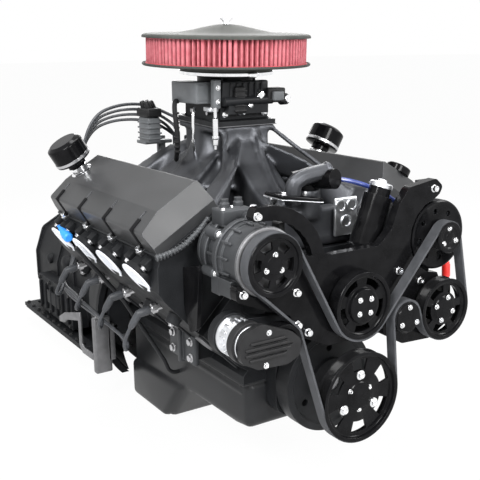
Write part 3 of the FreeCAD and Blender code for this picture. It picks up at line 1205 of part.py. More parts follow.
wires = []
for n, (p, d, side, y) in enumerate(boots):
    lane = 3 - n % 4
    theta = math.radians(90 - side * 22.5 - side * 45 * (3 - lane))
    tx, ty = 30 * math.cos(theta), -50 + 30 * math.sin(theta)
    yk, top, run = 15 + 9.0 * lane, 455 - 12.0 * lane, 102 - 9.5 * lane
    fall = V(side * 0.45, 0.25, -0.86).normalize()
    elbow = p + d * 36
    end = elbow + fall * 26
    pts = [end, end + fall * 22, (side * 326, min(y + 56, yk - 44), run - 14),
           (side * 304, min(y + 88, yk - 16), run), (side * 304, yk, run), (side * 262, yk, run + 50),
           (side * 250, yk, 300), (side * 236, yk, top - 50),
           (side * 40, yk, top - 6), (tx, ty, top), (tx, ty, 400.4)]
    wires.append(tube("wire_%d" % n, [tuple(q) for q in pts], 3.6, 24))
    boot = fuse("boot_out_%d" % n, [cyl("boot_root_%d" % n, 8.2, 27, along(p + d * 13, d)),
                                    cyl("boot_leg_%d" % n, 7.4, 32, along(elbow, fall))])
    wires.append(cut("boot_%d" % n, boot, [cyl("boot_in_%d" % n, 5.8, 15, along(p + d * 12.9, d))]))
harness = []
for n in range(8):
    harness.append(fuse("lead_%d" % n, [wires[2 * n], wires[2 * n + 1]]))
node(group("lead_group", harness), "plug_wires")
filt = body("filter_can", PLACE(V(197.5, -71, 2.0), ROT(V(1, 0, 0), 180)))
turn(filt, [(0, 0), (34, 0), (46, 3, 2), (46, 112, 8), (30, 118), (0, 118)])
node(filt, "oil_filter")
stick = tube("dip_tube", [(-128.3, -236, -72), (-160, -236, -72), (-172, -234, -40), (-252, -213, 106),
                          (-350, -210, 236)], 4.5, 24)
node(stick, "dipstick_tube")

# Lifting the finished shapes out to STEP files.
doc.recompute()
bad = [o.Label for o in doc.Objects if "Invalid" in o.State or "Error" in o.State]
if bad:
    raise RuntimeError("features in error: %s" % bad)
os.makedirs("parts", exist_ok=True)
for name, obj in NODES.items():
    shape = obj.Shape
    if shape.isNull() or not shape.isValid() or not shape.Solids:
        raise RuntimeError("bad shape: " + name)
    shape.exportStep("parts/%s.step" % name)
print(len(NODES), "nodes written")
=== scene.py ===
import bpy
import math
from mathutils import Matrix, Vector


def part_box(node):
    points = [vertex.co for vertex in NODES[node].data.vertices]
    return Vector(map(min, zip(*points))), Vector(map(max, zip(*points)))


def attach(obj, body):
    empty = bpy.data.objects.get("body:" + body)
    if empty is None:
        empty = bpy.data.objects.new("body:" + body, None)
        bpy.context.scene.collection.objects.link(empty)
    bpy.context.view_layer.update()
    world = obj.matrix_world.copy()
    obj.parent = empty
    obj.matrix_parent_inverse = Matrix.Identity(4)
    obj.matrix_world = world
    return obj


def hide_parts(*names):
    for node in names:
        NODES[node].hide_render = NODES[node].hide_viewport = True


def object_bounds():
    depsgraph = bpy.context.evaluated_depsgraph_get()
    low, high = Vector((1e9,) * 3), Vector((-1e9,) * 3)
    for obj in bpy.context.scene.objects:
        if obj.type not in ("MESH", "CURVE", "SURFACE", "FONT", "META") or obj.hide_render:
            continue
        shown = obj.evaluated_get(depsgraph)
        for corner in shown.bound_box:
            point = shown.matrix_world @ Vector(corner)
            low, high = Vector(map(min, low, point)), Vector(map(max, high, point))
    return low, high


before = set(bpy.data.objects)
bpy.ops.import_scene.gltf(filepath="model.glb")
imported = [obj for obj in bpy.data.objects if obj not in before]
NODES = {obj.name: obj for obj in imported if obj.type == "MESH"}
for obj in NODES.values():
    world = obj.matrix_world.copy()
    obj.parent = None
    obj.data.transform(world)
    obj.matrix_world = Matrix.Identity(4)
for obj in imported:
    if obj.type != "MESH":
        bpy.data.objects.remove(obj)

cad_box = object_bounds()
MM = 0.001
bpy.ops.object.select_all(action="DESELECT")

# Camera at the photograph's viewing angle, for a square picture.
TARGET = Vector((0.0, -0.278, 0.2159))
TURN, RISE, ROLL = math.radians(-32.28), math.radians(13.5), math.radians(-0.78)
FOCAL_PX, PICTURE_PX, FAR = 820.0, 480.0, 1.79
back = Vector((math.sin(TURN) * math.cos(RISE), -math.cos(TURN) * math.cos(RISE), math.sin(RISE)))
side = Vector((0, 0, 1)).cross(back).normalized()
up = back.cross(side)
right = side * math.cos(ROLL) + up * math.sin(ROLL)
up = back.cross(right)
lens = bpy.data.cameras.new("photo_camera")
lens.sensor_fit = "HORIZONTAL"
lens.sensor_width = 36.0
lens.lens = 36.0 * FOCAL_PX / PICTURE_PX
lens.clip_end = 50.0
camera = bpy.data.objects.new("photo_camera", lens)
bpy.context.scene.collection.objects.link(camera)
spot = TARGET + back * FAR
camera.matrix_world = Matrix(((right.x, up.x, back.x, spot.x), (right.y, up.y, back.y, spot.y),
                              (right.z, up.z, back.z, spot.z), (0, 0, 0, 1)))
bpy.context.scene.camera = camera
bpy.context.scene.view_settings.view_transform = "Standard"


# Stage: white world, pale floor that keeps the shadow, soft lamps.
def link(tree, a, b):
    tree.links.new(a, b)


def stage_light(name, place, aim, size, power):
    lamp = bpy.data.lights.new(name, "AREA")
    lamp.shape = "RECTANGLE"
    lamp.size, lamp.size_y = size
    lamp.energy = power
    holder = bpy.data.objects.new(name, lamp)
    bpy.context.scene.collection.objects.link(holder)
    holder.location = place
    holder.rotation_euler = (Vector(aim) - Vector(place)).to_track_quat("-Z", "Y").to_euler()


def seen_directly(tree):
    """1 for rays from the camera, through glass or off a mirror, else 0."""
    path = tree.nodes.new("ShaderNodeLightPath")
    total = path.outputs["Is Camera Ray"]
    for kind in ("Is Transmission Ray", "Is Glossy Ray"):
        larger = tree.nodes.new("ShaderNodeMath")
        larger.operation = "MAXIMUM"
        link(tree, total, larger.inputs[0])
        link(tree, path.outputs[kind], larger.inputs[1])
        total = larger.outputs[0]
    return total


WORLD_LIGHT, FLOOR_GLOW = 0.42, 0.965
world = bpy.data.worlds.new("studio")
bpy.context.scene.world = world
world.use_nodes = True
tree = world.node_tree
tree.nodes.clear()
power = tree.nodes.new("ShaderNodeMapRange")
power.inputs["To Min"].default_value = WORLD_LIGHT
power.inputs["To Max"].default_value = 1.0
link(tree, seen_directly(tree), power.inputs["Value"])
sky = tree.nodes.new("ShaderNodeBackground")
sky.inputs["Color"].default_value = (1, 1, 1, 1)
link(tree, power.outputs["Result"], sky.inputs["Strength"])
out = tree.nodes.new("ShaderNodeOutputWorld")
link(tree, sky.outputs[0], out.inputs["Surface"])

stage_light("key_panel", (-1.9, -1.5, 1.9), (0, -0.3, 0.2), (0.7, 1.1), 80)
stage_light("front_panel", (-0.3, -2.6, 1.5), (0, -0.4, 0.2), (0.6, 1.0), 55)
stage_light("fill_panel", (1.9, -2.0, 1.4), (0, -0.4, 0.2), (0.6, 1.2), 36)
stage_light("top_panel", (0.1, 0.1, 2.3), (0, -0.3, 0.3), (1.6, 0.7), 44)
stage_light("rear_panel", (1.2, 1.9, 1.2), (0, -0.2, 0.2), (1.4, 1.2), 26)

low_z = cad_box[0][2]
bpy.ops.mesh.primitive_plane_add(size=80.0, location=(0, 0, low_z - 0.0005))
floor = bpy.context.object
floor.name = "studio_floor"
ground = bpy.data.materials.new("studio_floor_paper")
ground.use_nodes = True
tree = ground.node_tree
tree.nodes.clear()
paper = tree.nodes.new("ShaderNodeBsdfDiffuse")
paper.inputs["Color"].default_value = (0.9, 0.9, 0.9, 1)
glow = tree.nodes.new("ShaderNodeEmission")
glow.inputs["Color"].default_value = (1, 1, 1, 1)
blend = tree.nodes.new("ShaderNodeMixShader")
share = tree.nodes.new("ShaderNodeMath")
share.operation = "MULTIPLY"
share.inputs[1].default_value = FLOOR_GLOW
link(tree, seen_directly(tree), share.inputs[0])
link(tree, share.outputs[0], blend.inputs["Fac"])
link(tree, paper.outputs[0], blend.inputs[1])
link(tree, glow.outputs[0], blend.inputs[2])
out = tree.nodes.new("ShaderNodeOutputMaterial")
link(tree, blend.outputs[0], out.inputs["Surface"])
floor.data.materials.append(ground)
bpy.ops.object.select_all(action="DESELECT")


def finish(name, tone, rough, mottle, grain, depth, edge, tone_b=None, rough_b=None, metal=0.0, edge_wear_and_highlight=None,
           edge_wear_and_highlight_share=0.3, coat=0.0, coat_rough=0.1, specular=0.5):
    mat = bpy.data.materials.new(name)
    mat.use_nodes = True
    tree = mat.node_tree
    skin = tree.nodes["Principled BSDF"]
    skin.inputs["Metallic"].default_value = metal
    skin.inputs["Coat Weight"].default_value = coat
    skin.inputs["Coat Roughness"].default_value = coat_rough
    skin.inputs["Specular IOR Level"].default_value = specular
    where = tree.nodes.new("ShaderNodeTexCoord")
    cloud = tree.nodes.new("ShaderNodeTexNoise")
    cloud.inputs["Scale"].default_value = mottle
    cloud.inputs["Detail"].default_value = 4.0
    link(tree, where.outputs["Object"], cloud.inputs["Vector"])
    tones = tree.nodes.new("ShaderNodeValToRGB")
    tones.color_ramp.elements[0].position = 0.3
    tones.color_ramp.elements[1].position = 0.7
    tones.color_ramp.elements[0].color = (*tone, 1)
    tones.color_ramp.elements[1].color = (*(tone_b or [min(1, t * 1.5 + 0.002) for t in tone]), 1)
    link(tree, cloud.outputs["Fac"], tones.inputs["Fac"])
    gloss = tree.nodes.new("ShaderNodeMapRange")
    gloss.inputs["From Min"].default_value = 0.3
    gloss.inputs["From Max"].default_value = 0.7
    gloss.inputs["To Min"].default_value = rough
    gloss.inputs["To Max"].default_value = rough_b if rough_b is not None else min(1, rough * 1.25)
    link(tree, cloud.outputs["Fac"], gloss.inputs["Value"])
    link(tree, gloss.outputs[0], skin.inputs["Roughness"])
    pores = tree.nodes.new("ShaderNodeTexNoise")
    pores.inputs["Scale"].default_value = grain
    pores.inputs["Detail"].default_value = 3.0
    link(tree, where.outputs["Object"], pores.inputs["Vector"])
    bump = tree.nodes.new("ShaderNodeBump")
    bump.inputs["Strength"].default_value = 1.0
    bump.inputs["Distance"].default_value = depth
    link(tree, pores.outputs["Fac"], bump.inputs["Height"])
    soft = tree.nodes.new("ShaderNodeBevel")
    soft.samples = 4
    soft.inputs["Radius"].default_value = edge
    link(tree, soft.outputs[0], bump.inputs["Normal"])
    link(tree, bump.outputs[0], skin.inputs["Normal"])
    colour = tones.outputs["Color"]
    # Edges are mixed toward a lighter colour: partly edge wear, partly a painted highlight along every edge.
    if edge_wear_and_highlight:
        shape = tree.nodes.new("ShaderNodeNewGeometry")
        dot = tree.nodes.new("ShaderNodeVectorMath")
        dot.operation = "DOT_PRODUCT"
        link(tree, shape.outputs["Normal"], dot.inputs[0])
        link(tree, soft.outputs[0], dot.inputs[1])
        # rim is the edge mask for that lighter colour, part wear and part painted highlight.
        rim = tree.nodes.new("ShaderNodeMapRange")
        rim.inputs["From Min"].default_value = 0.985
        rim.inputs["From Max"].default_value = 0.80
        rim.inputs["To Min"].default_value = 0.0
        rim.inputs["To Max"].default_value = edge_wear_and_highlight_share
        link(tree, dot.outputs["Value"], rim.inputs["Value"])
        mix = tree.nodes.new("ShaderNodeMix")
        mix.data_type = "RGBA"
        mix.inputs[7].default_value = (*edge_wear_and_highlight, 1)
        link(tree, rim.outputs[0], mix.inputs[0])
        link(tree, colour, mix.inputs[6])
        colour = mix.outputs[2]
    link(tree, colour, skin.inputs["Base Color"])
    return mat


satin_black = finish("satin_black_paint", (0.010, 0.0105, 0.0115), 0.36, 14, 900, 0.00006, 0.0012,
                     edge_wear_and_highlight=(0.05, 0.052, 0.055), coat=0.02, coat_rough=0.25, specular=0.14)
gloss_black = finish("gloss_black_paint", (0.0028, 0.0028, 0.0032), 0.13, 40, 1500, 0.00001, 0.0009,
                     rough_b=0.18, edge_wear_and_highlight=(0.05, 0.05, 0.055), coat=0.05, coat_rough=0.05, specular=0.07)
cast_black = finish("painted_casting", (0.0075, 0.008, 0.009), 0.46, 22, 420, 0.00035, 0.0018,
                    edge_wear_and_highlight=(0.07, 0.072, 0.078), edge_wear_and_highlight_share=0.6, specular=0.12)
cast_grey = finish("grey_casting", (0.036, 0.038, 0.041), 0.42, 26, 500, 0.0002, 0.0012, metal=0.55,
                   edge_wear_and_highlight=(0.25, 0.26, 0.27), edge_wear_and_highlight_share=0.6)
steel = finish("machined_steel", (0.42, 0.42, 0.43), 0.27, 60, 1600, 0.00003, 0.0005, metal=1.0,
               edge_wear_and_highlight=(0.75, 0.75, 0.76), edge_wear_and_highlight_share=0.6)
iron = finish("machined_iron", (0.16, 0.16, 0.165), 0.42, 40, 700, 0.0001, 0.0008, metal=0.9,
              edge_wear_and_highlight=(0.4, 0.4, 0.41), edge_wear_and_highlight_share=0.6)
chrome = finish("polished_chrome", (0.78, 0.79, 0.81), 0.09, 50, 1200, 0.000005, 0.0004, metal=1.0)
bright_alloy = finish("bright_alloy", (0.62, 0.63, 0.65), 0.3, 45, 900, 0.00006, 0.0008, metal=1.0,
                      edge_wear_and_highlight=(0.85, 0.86, 0.87), edge_wear_and_highlight_share=0.6)
rubber = finish("black_rubber", (0.012, 0.012, 0.0125), 0.62, 50, 1300, 0.0001, 0.0005,
                edge_wear_and_highlight=(0.05, 0.05, 0.052), specular=0.15)
belt_rubber = finish("belt_rubber", (0.042, 0.044, 0.048), 0.6, 60, 1500, 0.0001, 0.0004, specular=0.25,
                     tone_b=(0.06, 0.062, 0.068))
red_pleats = finish("red_filter_cotton", (0.40, 0.098, 0.118), 0.85, 90, 1400, 0.0003, 0.0005,
                    specular=0.1, tone_b=(0.50, 0.17, 0.19))
grey_plastic = finish("grey_plastic", (0.09, 0.095, 0.1), 0.4, 30, 1100, 0.00006, 0.0008,
                      edge_wear_and_highlight=(0.25, 0.26, 0.27), specular=0.3)
black_plastic = finish("black_plastic", (0.010, 0.010, 0.0105), 0.42, 30, 1000, 0.00008, 0.0008,
                       edge_wear_and_highlight=(0.05, 0.05, 0.052), specular=0.2)
white_cover = finish("pale_cover_paint", (0.62, 0.64, 0.70), 0.35, 30, 900, 0.00004, 0.0008,
                     edge_wear_and_highlight=(0.9, 0.9, 0.92), tone_b=(0.74, 0.76, 0.80))
red_rubber = finish("red_rubber_bands", (0.30, 0.035, 0.045), 0.6, 40, 900, 0.0001, 0.0008,
                    edge_wear_and_highlight=(0.4, 0.1, 0.1))
red_cap = finish("red_plastic", (0.62, 0.02, 0.015), 0.4, 40, 900, 0.00005, 0.0006,
                 edge_wear_and_highlight=(0.7, 0.1, 0.1))
blue_hose = finish("blue_hose", (0.02, 0.035, 0.16), 0.3, 40, 900, 0.00003, 0.0005,
                   edge_wear_and_highlight=(0.1, 0.14, 0.4), coat=0.3)
cyan_cap = finish("cyan_plastic", (0.02, 0.22, 0.72), 0.4, 40, 900, 0.00005, 0.0006,
                  edge_wear_and_highlight=(0.3, 0.6, 0.9))
pan_black = finish("pan_paint", (0.011, 0.0115, 0.0125), 0.34, 14, 900, 0.00006, 0.010, coat=0.08,
                   coat_rough=0.25, specular=0.2)
intake_black = finish("intake_casting", (0.052, 0.054, 0.06), 0.36, 22, 420, 0.0003, 0.006,
                      metal=0.75, edge_wear_and_highlight=(0.13, 0.135, 0.15), edge_wear_and_highlight_share=0.7, tone_b=(0.075, 0.078, 0.085))
lid_black = finish("lid_paint", (0.040, 0.041, 0.038), 0.48, 12, 1400, 0.00002, 0.0008, rough_b=0.54,
                   edge_wear_and_highlight=(0.06, 0.062, 0.066), specular=0.06)
lead_rubber = finish("lead_rubber", (0.03, 0.032, 0.036), 0.4, 40, 900, 0.00003, 0.0005,
                     edge_wear_and_highlight=(0.08, 0.08, 0.085), specular=0.4)
cover_black = finish("cover_paint", (0.022, 0.0225, 0.0235), 0.34, 14, 900, 0.00005, 0.0016,
                     edge_wear_and_highlight=(0.16, 0.165, 0.18), edge_wear_and_highlight_share=0.8, specular=0.3)
earth_yellow = finish("yellow_sleeve", (0.55, 0.60, 0.03), 0.45, 40, 900, 0.00003, 0.0005)
notch_black = finish("notch_shadow", (0.0025, 0.0025, 0.003), 0.6, 30, 900, 0.00005, 0.0006,
                     specular=0.1)
gasket_grey = finish("gasket_sheet", (0.12, 0.12, 0.125), 0.6, 60, 900, 0.0001, 0.0006, metal=0.5)

DRESS = {
    gloss_black: "accessory_brackets air_cleaner_base air_cleaner_lid alternator_pulley breathers_and_filler_cap "
                 "compressor_pulley crank_pulley fluid_reservoir idler_pulley steering_pump_pulley "
                 "tensioner_pulley thermostat_housing water_pump_pulley",
    steel: "cam_sprocket connecting_rods crank_sprocket crankshaft flexplate lifters_pushrods_rockers spark_plugs "
           "throttle_shaft_front throttle_shaft_rear timing_chain valves_and_springs water_pump_impeller",
    cast_black: "alternator bellhousing cylinder_block cylinder_head_left cylinder_head_right gearbox_case "
                "steering_pump tensioner_housing timing_cover water_pump_housing",
    satin_black: "dipstick_tube harmonic_damper oil_filter throttle_body",
    black_plastic: "distributor_cap distributor_rotor tensioner_arm",
    bright_alloy: "distributor pistons",
    chrome: "cap_screws wing_nut",
    cover_black: "valve_cover_left valve_cover_right",
    grey_plastic: "ignition_coil injection_cover",
    iron: "camshaft main_bearing_caps",
    belt_rubber: "serpentine_belt",
    cast_grey: "compressor",
    gasket_grey: "head_gaskets",
    intake_black: "intake_manifold",
    pan_black: "oil_pan",
    red_pleats: "filter_element",
    rubber: "plug_wires",
    white_cover: "port_covers",
}
for coat, names in DRESS.items():
    for holder in (NODES[name] for name in names.split()):
        if holder.material_slots:
            for slot in holder.material_slots:
                slot.material = coat
        else:
            holder.data.materials.append(coat)

# Modelling: helpers that add, shape and settle a piece.
FRONT_Y, PULLEY_W = -691.0, 26.0


def begin():
    if bpy.context.object and bpy.context.object.mode != "OBJECT":
        bpy.ops.object.mode_set(mode="OBJECT")
    bpy.ops.object.select_all(action="DESELECT")


def settle(name):
    piece = bpy.context.object
    piece.name = name
    bpy.ops.object.transform_apply()
    return piece


def pick(piece, wanted, kind="FACE"):
    """Leaves edit mode on with only the wanted faces or vertices selected."""
    bpy.ops.object.mode_set(mode="EDIT")
    bpy.ops.mesh.select_mode(type=kind)
    bpy.ops.mesh.select_all(action="DESELECT")
    bpy.ops.object.mode_set(mode="OBJECT")
    for part in (piece.data.polygons if kind == "FACE" else piece.data.vertices):
        part.select = wanted(part)
    bpy.ops.object.mode_set(mode="EDIT")


def tidy():
    bpy.ops.mesh.select_all(action="SELECT")
    bpy.ops.mesh.remove_doubles(threshold=0.000001)
    bpy.ops.mesh.normals_make_consistent(inside=False)
    bpy.ops.object.mode_set(mode="OBJECT")


def turned(name, rings, steps=96):
    """Circle pulled ring by ring through (radius, height) in mm; ends filled unless the path closes."""
    begin()
    bpy.ops.mesh.primitive_circle_add(vertices=steps, radius=rings[0][0] * MM, location=(0, 0, rings[0][1] * MM))
    piece = settle(name)
    bpy.ops.object.mode_set(mode="EDIT")
    bpy.ops.mesh.select_all(action="SELECT")
    for (ra, za), (rb, zb) in zip(rings, rings[1:]):
        bpy.ops.mesh.extrude_edges_move(TRANSFORM_OT_translate={"value": (0, 0, (zb - za) * MM)})
        bpy.ops.transform.resize(value=(rb / ra, rb / ra, 1), center_override=(0, 0, 0))
    if rings[0] != rings[-1]:
        bpy.ops.mesh.edge_face_add()
        pick(piece, lambda v: v.index < steps, "VERT")
        bpy.ops.mesh.edge_face_add()
    tidy()
    return piece


def outlined(name, points, depth):
    """Flat outline walked corner by corner in mm, filled and pulled up."""
    begin()
    bpy.ops.mesh.primitive_plane_add(size=MM, location=(points[0][0] * MM, points[0][1] * MM, 0))
    piece = settle(name)
    bpy.ops.object.mode_set(mode="EDIT")
    bpy.ops.mesh.select_all(action="SELECT")
    bpy.ops.mesh.merge(type="CENTER")
    for a, b in zip(points, points[1:]):
        step = ((b[0] - a[0]) * MM, (b[1] - a[1]) * MM, 0)
        bpy.ops.mesh.extrude_vertices_move(TRANSFORM_OT_translate={"value": step})
    bpy.ops.mesh.select_all(action="SELECT")
    bpy.ops.mesh.edge_face_add()
    bpy.ops.mesh.extrude_region_move(TRANSFORM_OT_translate={"value": (0, 0, depth * MM)})
    tidy()
    return piece


def barrel(name, sides, r, depth, z=0.0, ends="NGON"):
    """Upright cylinder in mm, its middle at height z."""
    begin()
    bpy.ops.mesh.primitive_cylinder_add(vertices=sides, radius=r * MM, depth=depth * MM, end_fill_type=ends,
            location=(0, 0, z * MM))
    return settle(name)


def block(name, low, high):
    """Cube sized to the corners, in mm."""
    begin()
    middle = [(a + b) / 2 * MM for a, b in zip(low, high)]
    bpy.ops.mesh.primitive_cube_add(size=1, location=middle, scale=[(b - a) * MM for a, b in zip(low, high)])
    return settle(name)


def use(piece, kind, **settings):
    """Adds a modifier, sets it and applies it."""
    begin()
    piece.select_set(True)
    bpy.context.view_layer.objects.active = piece
    tool = piece.modifiers.new("step", kind)
    for key, value in settings.items():
        setattr(tool, key, value)
    bpy.ops.object.modifier_apply(modifier=tool.name)
    return piece


def eased(piece, width, segments=2, angle=35):
    return use(piece, "BEVEL", width=width * MM, segments=segments, limit_method="ANGLE",
               angle_limit=math.radians(angle), harden_normals=False)


def carved(piece, cutter):
    use(piece, "BOOLEAN", operation="DIFFERENCE", object=cutter, solver="EXACT")
    bpy.data.objects.remove(cutter)
    return piece


def put(piece, place):
    piece.data.transform(place)
    if place.determinant() < 0:
        piece.data.flip_normals()
    return piece


def at(x, y, z):
    return Matrix.Translation((x * MM, y * MM, z * MM))


def spun(angle, axis):
    return Matrix.Rotation(math.radians(angle), 4, axis)


def to_front(x, y, z, spin=0.0):
    """Local z points to the engine's front, local y up."""
    return at(x, y, z) @ spun(90, "X") @ spun(spin, "Z")


def toward(point, direction):
    """Local z points along the direction."""
    turn = Vector(direction).to_track_quat("Z", "Y").to_matrix().to_4x4()
    return at(*point) @ turn


def copy_of(master, place):
    piece = master.copy()
    piece.data = master.data.copy()
    bpy.context.scene.collection.objects.link(piece)
    return put(piece, place)


def joined(name, pieces):
    begin()
    for piece in pieces:
        piece.select_set(True)
    bpy.context.view_layer.objects.active = pieces[0]
    if len(pieces) > 1:
        bpy.ops.object.join()
    pieces[0].name = name
    pieces[0].data.name = name
    return pieces[0]


def done(piece, coat, *nodes, body="engine", angle=32):
    """Gives the piece its finish and body; nodes are the CAD solids it stands for."""
    begin()
    piece.select_set(True)
    bpy.context.view_layer.objects.active = piece
    piece.data.materials.clear()
    piece.data.materials.append(coat)
    bpy.ops.object.shade_smooth_by_angle(angle=math.radians(angle))
    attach(piece, body)
    if nodes:
        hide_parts(*nodes)
    piece.select_set(False)
    return piece


def build(name, pieces, coat, *nodes, **settings):
    return done(joined(name, pieces), coat, *nodes, **settings)


# Fasteners, modelled once and copied.
def cap_screw(name, r, h):
    """Round socket-head screw on a washer."""
    head = turned(name, [(r * 1.45, 0), (r * 1.45, 1.0), (r, 1.2), (r, h), (r * 0.9, h + 0.6)], 28)
    return carved(head, barrel(name + "_key", 6, r * 0.5, h, h + 1))


def hex_bolt(name, r, h):
    """Hexagon head with a flange and a chamfered top."""
    head = eased(barrel(name, 6, r, h, h / 2 + 1.0), 0.6, 2)
    collar = turned(name + "_collar", [(r * 1.25, 0), (r * 1.25, 0.9), (r * 1.05, 1.6)], 28)
    return joined(name, [head, collar])


big_screw = cap_screw("big_screw", 6.4, 5.2)
small_screw = cap_screw("small_screw", 3.6, 3.2)
hex_head = hex_bolt("hex_head", 7.2, 5.5)
small_hex = hex_bolt("small_hex", 5.2, 4.2)


def scattered(name, master, places, coat=chrome, body="engine"):
    return build(name, [copy_of(master, p) for p in places], coat, body=body)


# Front-drive pulleys: ribbed or plain rim, dished web with windows, hub and screws.
def rib_rings(r, w, ribs):
    if not ribs:
        return [(r, 0.8), (r, w - 1.0)]
    rings = [(r, 0.5), (r, 1.6), (r - 2.6, 2.4)]
    for k in range(6):
        z = 2.5 + k * 3.5
        rings += [(r - 2.6, z + 0.5), (r - 5.0, z + 1.75), (r - 2.6, z + 3.0)]
    return rings + [(r - 2.6, w - 2.3), (r, w - 1.7), (r, w - 1.0)]


def pulley_piece(name, node, body, axis, r, hub, dish, nose, windows=(), ribs=True, spin=0.0, steps=96, nose_r=None):
    """Windows are (count, inner radius, outer radius, open share); dish and nose are depths at the front."""
    w = PULLEY_W
    n = nose_r or hub * 0.82
    rim = r - 9.5
    web_front, web_back = w - dish, w - dish - 5.0
    count, r1, r2, wide = windows or (0, 0, 0, 0)
    rings = [(4, 2.0), (hub - 1, 2.0), (hub, 3.0), (hub, web_back)]
    if windows:
        rings += [(r1, web_back), (r2, web_back)]
    rings += [(rim, web_back), (rim, 0.8), (rim + 0.8, 0), (r - 0.8, 0)] + rib_rings(r, w, ribs)
    rings += [(r - 0.5, w - 0.3), (r - 1.4, w), (rim + 3.2, w), (rim + 2.0, w - 0.5), (rim + 1.0, web_front + 2.0),
              (rim - 1.0, web_front + 0.3), (rim - 2.5, web_front)]
    if windows:
        rings += [(r2, web_front), (r1, web_front)]
    top = web_front + nose
    rings += [(n + 1.5, web_front), (n, web_front + 0.8), (n * 0.97, top - 1.2), (n * 0.92, top - 0.3),
              (n * 0.82, top), (4, top)]
    piece = turned(name, rings, steps)
    for k in range(count):
        centre = 2 * math.pi * (k + 0.5) / count
        half = math.pi / count * wide

        def in_window(face):
            c = face.center / MM
            rr = math.hypot(c.x, c.y)
            turn = (math.atan2(c.y, c.x) - centre + math.pi) % (2 * math.pi) - math.pi
            inside = r1 < rr < r2 and abs(turn) < half and web_back - 1 < c.z < web_front + 1
            return inside and abs(face.normal.z) > 0.9
        pick(piece, in_window)
        bpy.ops.mesh.bridge_edge_loops()
        bpy.ops.object.mode_set(mode="OBJECT")
    put(eased(piece, 0.5, 2, 50), to_front(axis[0], FRONT_Y + w, axis[1], spin))
    return done(piece, gloss_black, node, body=body)


def ring_of(count, radius, start, axis, y):
    turns = [math.radians(start + 360 / count * k) for k in range(count)]
    return [to_front(axis[0] + radius * math.cos(t), y, axis[1] + radius * math.sin(t)) for t in turns]


# Axes of the front drive as (x, z), and the tensioner's spring case as (x, y, z).
CRANK, PUMP, CLUTCH, ALTERNATOR = (0, 0), (0, 175.3), (-191, 279.5), (208, 272)
STEERING, IDLER, TENSION, CASE = (205.7, 130.8), (107, 132.9), (-174, 139), (-240, -551, 153)
pulley_piece("crank_pulley_face", "crank_pulley", "crank_train", CRANK, 86.8, 34, 9, 3.0, (6, 50, 72, 0.5))
pulley_piece("pump_pulley_face", "water_pump_pulley", "pump_rotor", PUMP, 62.2, 26, 7, 9.0, (5, 38, 50, 0.6), False,
             20, 100, nose_r=33)
pulley_piece("clutch_pulley_face", "compressor_pulley", "clutch", CLUTCH, 54.1, 20, 6, 2.0, (6, 26, 40, 0.6),
             spin=25)
pulley_piece("alternator_pulley_face", "alternator_pulley", "alternator_wheel", ALTERNATOR, 30.0, 12, 2, 1.0,
             steps=72)
pulley_piece("steering_pulley_face", "steering_pump_pulley", "steering_wheel_drive", STEERING, 60.6, 30, 7, 3.0,
             (5, 33, 47, 0.66), spin=10, steps=100)
pulley_piece("idler_face", "idler_pulley", "idler", IDLER, 30.0, 14, 1.5, 1.0, ribs=False, steps=72)
pulley_piece("tensioner_wheel_face", "tensioner_pulley", "tension_wheel", TENSION, 36.0, 14, 3, 2.0, ribs=False,
             steps=72)
scattered("crank_pulley_screws", big_screw, ring_of(3, 41, 88, CRANK, FRONT_Y + 9), chrome, "crank_train")
scattered("crank_cap_screws", small_screw, ring_of(3, 26, 28, CRANK, FRONT_Y + 9), chrome, "crank_train")
scattered("pump_pulley_screws", small_screw, ring_of(4, 18, 42, PUMP, FRONT_Y - 1.9), chrome, "pump_rotor")
scattered("clutch_screws", small_screw, ring_of(3, 17.5, 85, CLUTCH, FRONT_Y + 6), chrome, "clutch")
scattered("alternator_screws", small_screw, ring_of(3, 18, 95, ALTERNATOR, FRONT_Y + 2), chrome, "alternator_wheel")
scattered("steering_screws", small_screw, ring_of(4, 23, 70, STEERING, FRONT_Y + 4.0), chrome,
          "steering_wheel_drive")
scattered("idler_screws", small_screw, ring_of(3, 21, 90, IDLER, FRONT_Y - 3.6), chrome, "idler")

# Air cleaner: pleated cotton between two pressed steel pans.
PAD, LEAN = (0, -228, 470), 2.3


def over_pad(z=0.0, x=0.0, y=0.0):
    """Frame of the leaning carburettor pad."""
    return at(*PAD) @ spun(LEAN, "X") @ at(x, y, z)


PLEATS = 99
cotton = barrel("pleated_cotton", PLEATS * 4, 169.0, 60, 31, "NOTHING")


def in_fold(v):
    turn = math.degrees(math.atan2(v.co.y, v.co.x)) % (360 / PLEATS)
    return turn / (360 / PLEATS) > 0.55


pick(cotton, in_fold, "VERT")
bpy.ops.transform.resize(value=(0.925, 0.925, 1), center_override=(0, 0, 0))
bpy.ops.object.mode_set(mode="OBJECT")
use(cotton, "SOLIDIFY", thickness=0.9 * MM, offset=-1)
put(cotton, over_pad(121))
inner_wall = put(turned("filter_bands", [(143, 0.3), (170.2, 0.3), (171.0, 1.2), (171.0, 4.0), (169.8, 4.8),
        (143, 4.8), (143, 0.3)], 160), over_pad(121))
upper_band = put(turned("upper_band", [(143, 57.0), (169.8, 57.0), (171.0, 58.0), (171.0, 60.8), (170.2, 61.7),
        (143, 61.7), (143, 57.0)], 160), over_pad(121))
done(cotton, red_pleats, "filter_element", angle=60)
build("filter_bands", [inner_wall, upper_band], red_rubber)

lid = turned("lid_pressing", [(4.2, 21.6), (14, 21.2), (30, 19.2), (52, 14.6), (74, 9.6), (92, 6.2), (106, 4.4),
        (128, 3.6), (150, 3.2), (166, 2.6), (173, 1.6), (176.8, -0.6), (177.8, -3.4), (177.6, -5.4), (176.2, -5.4),
        (175.9, -3.2), (172.4, 0.2), (166, 1.2), (150, 1.8), (128, 2.2), (106, 3.0), (92, 4.8), (74, 8.2),
        (52, 13.2), (30, 17.8), (14, 19.8), (4.2, 20.2), (4.2, 21.6)], 192)
done(put(lid, over_pad(181.7)), lid_black, "air_cleaner_lid", angle=50)

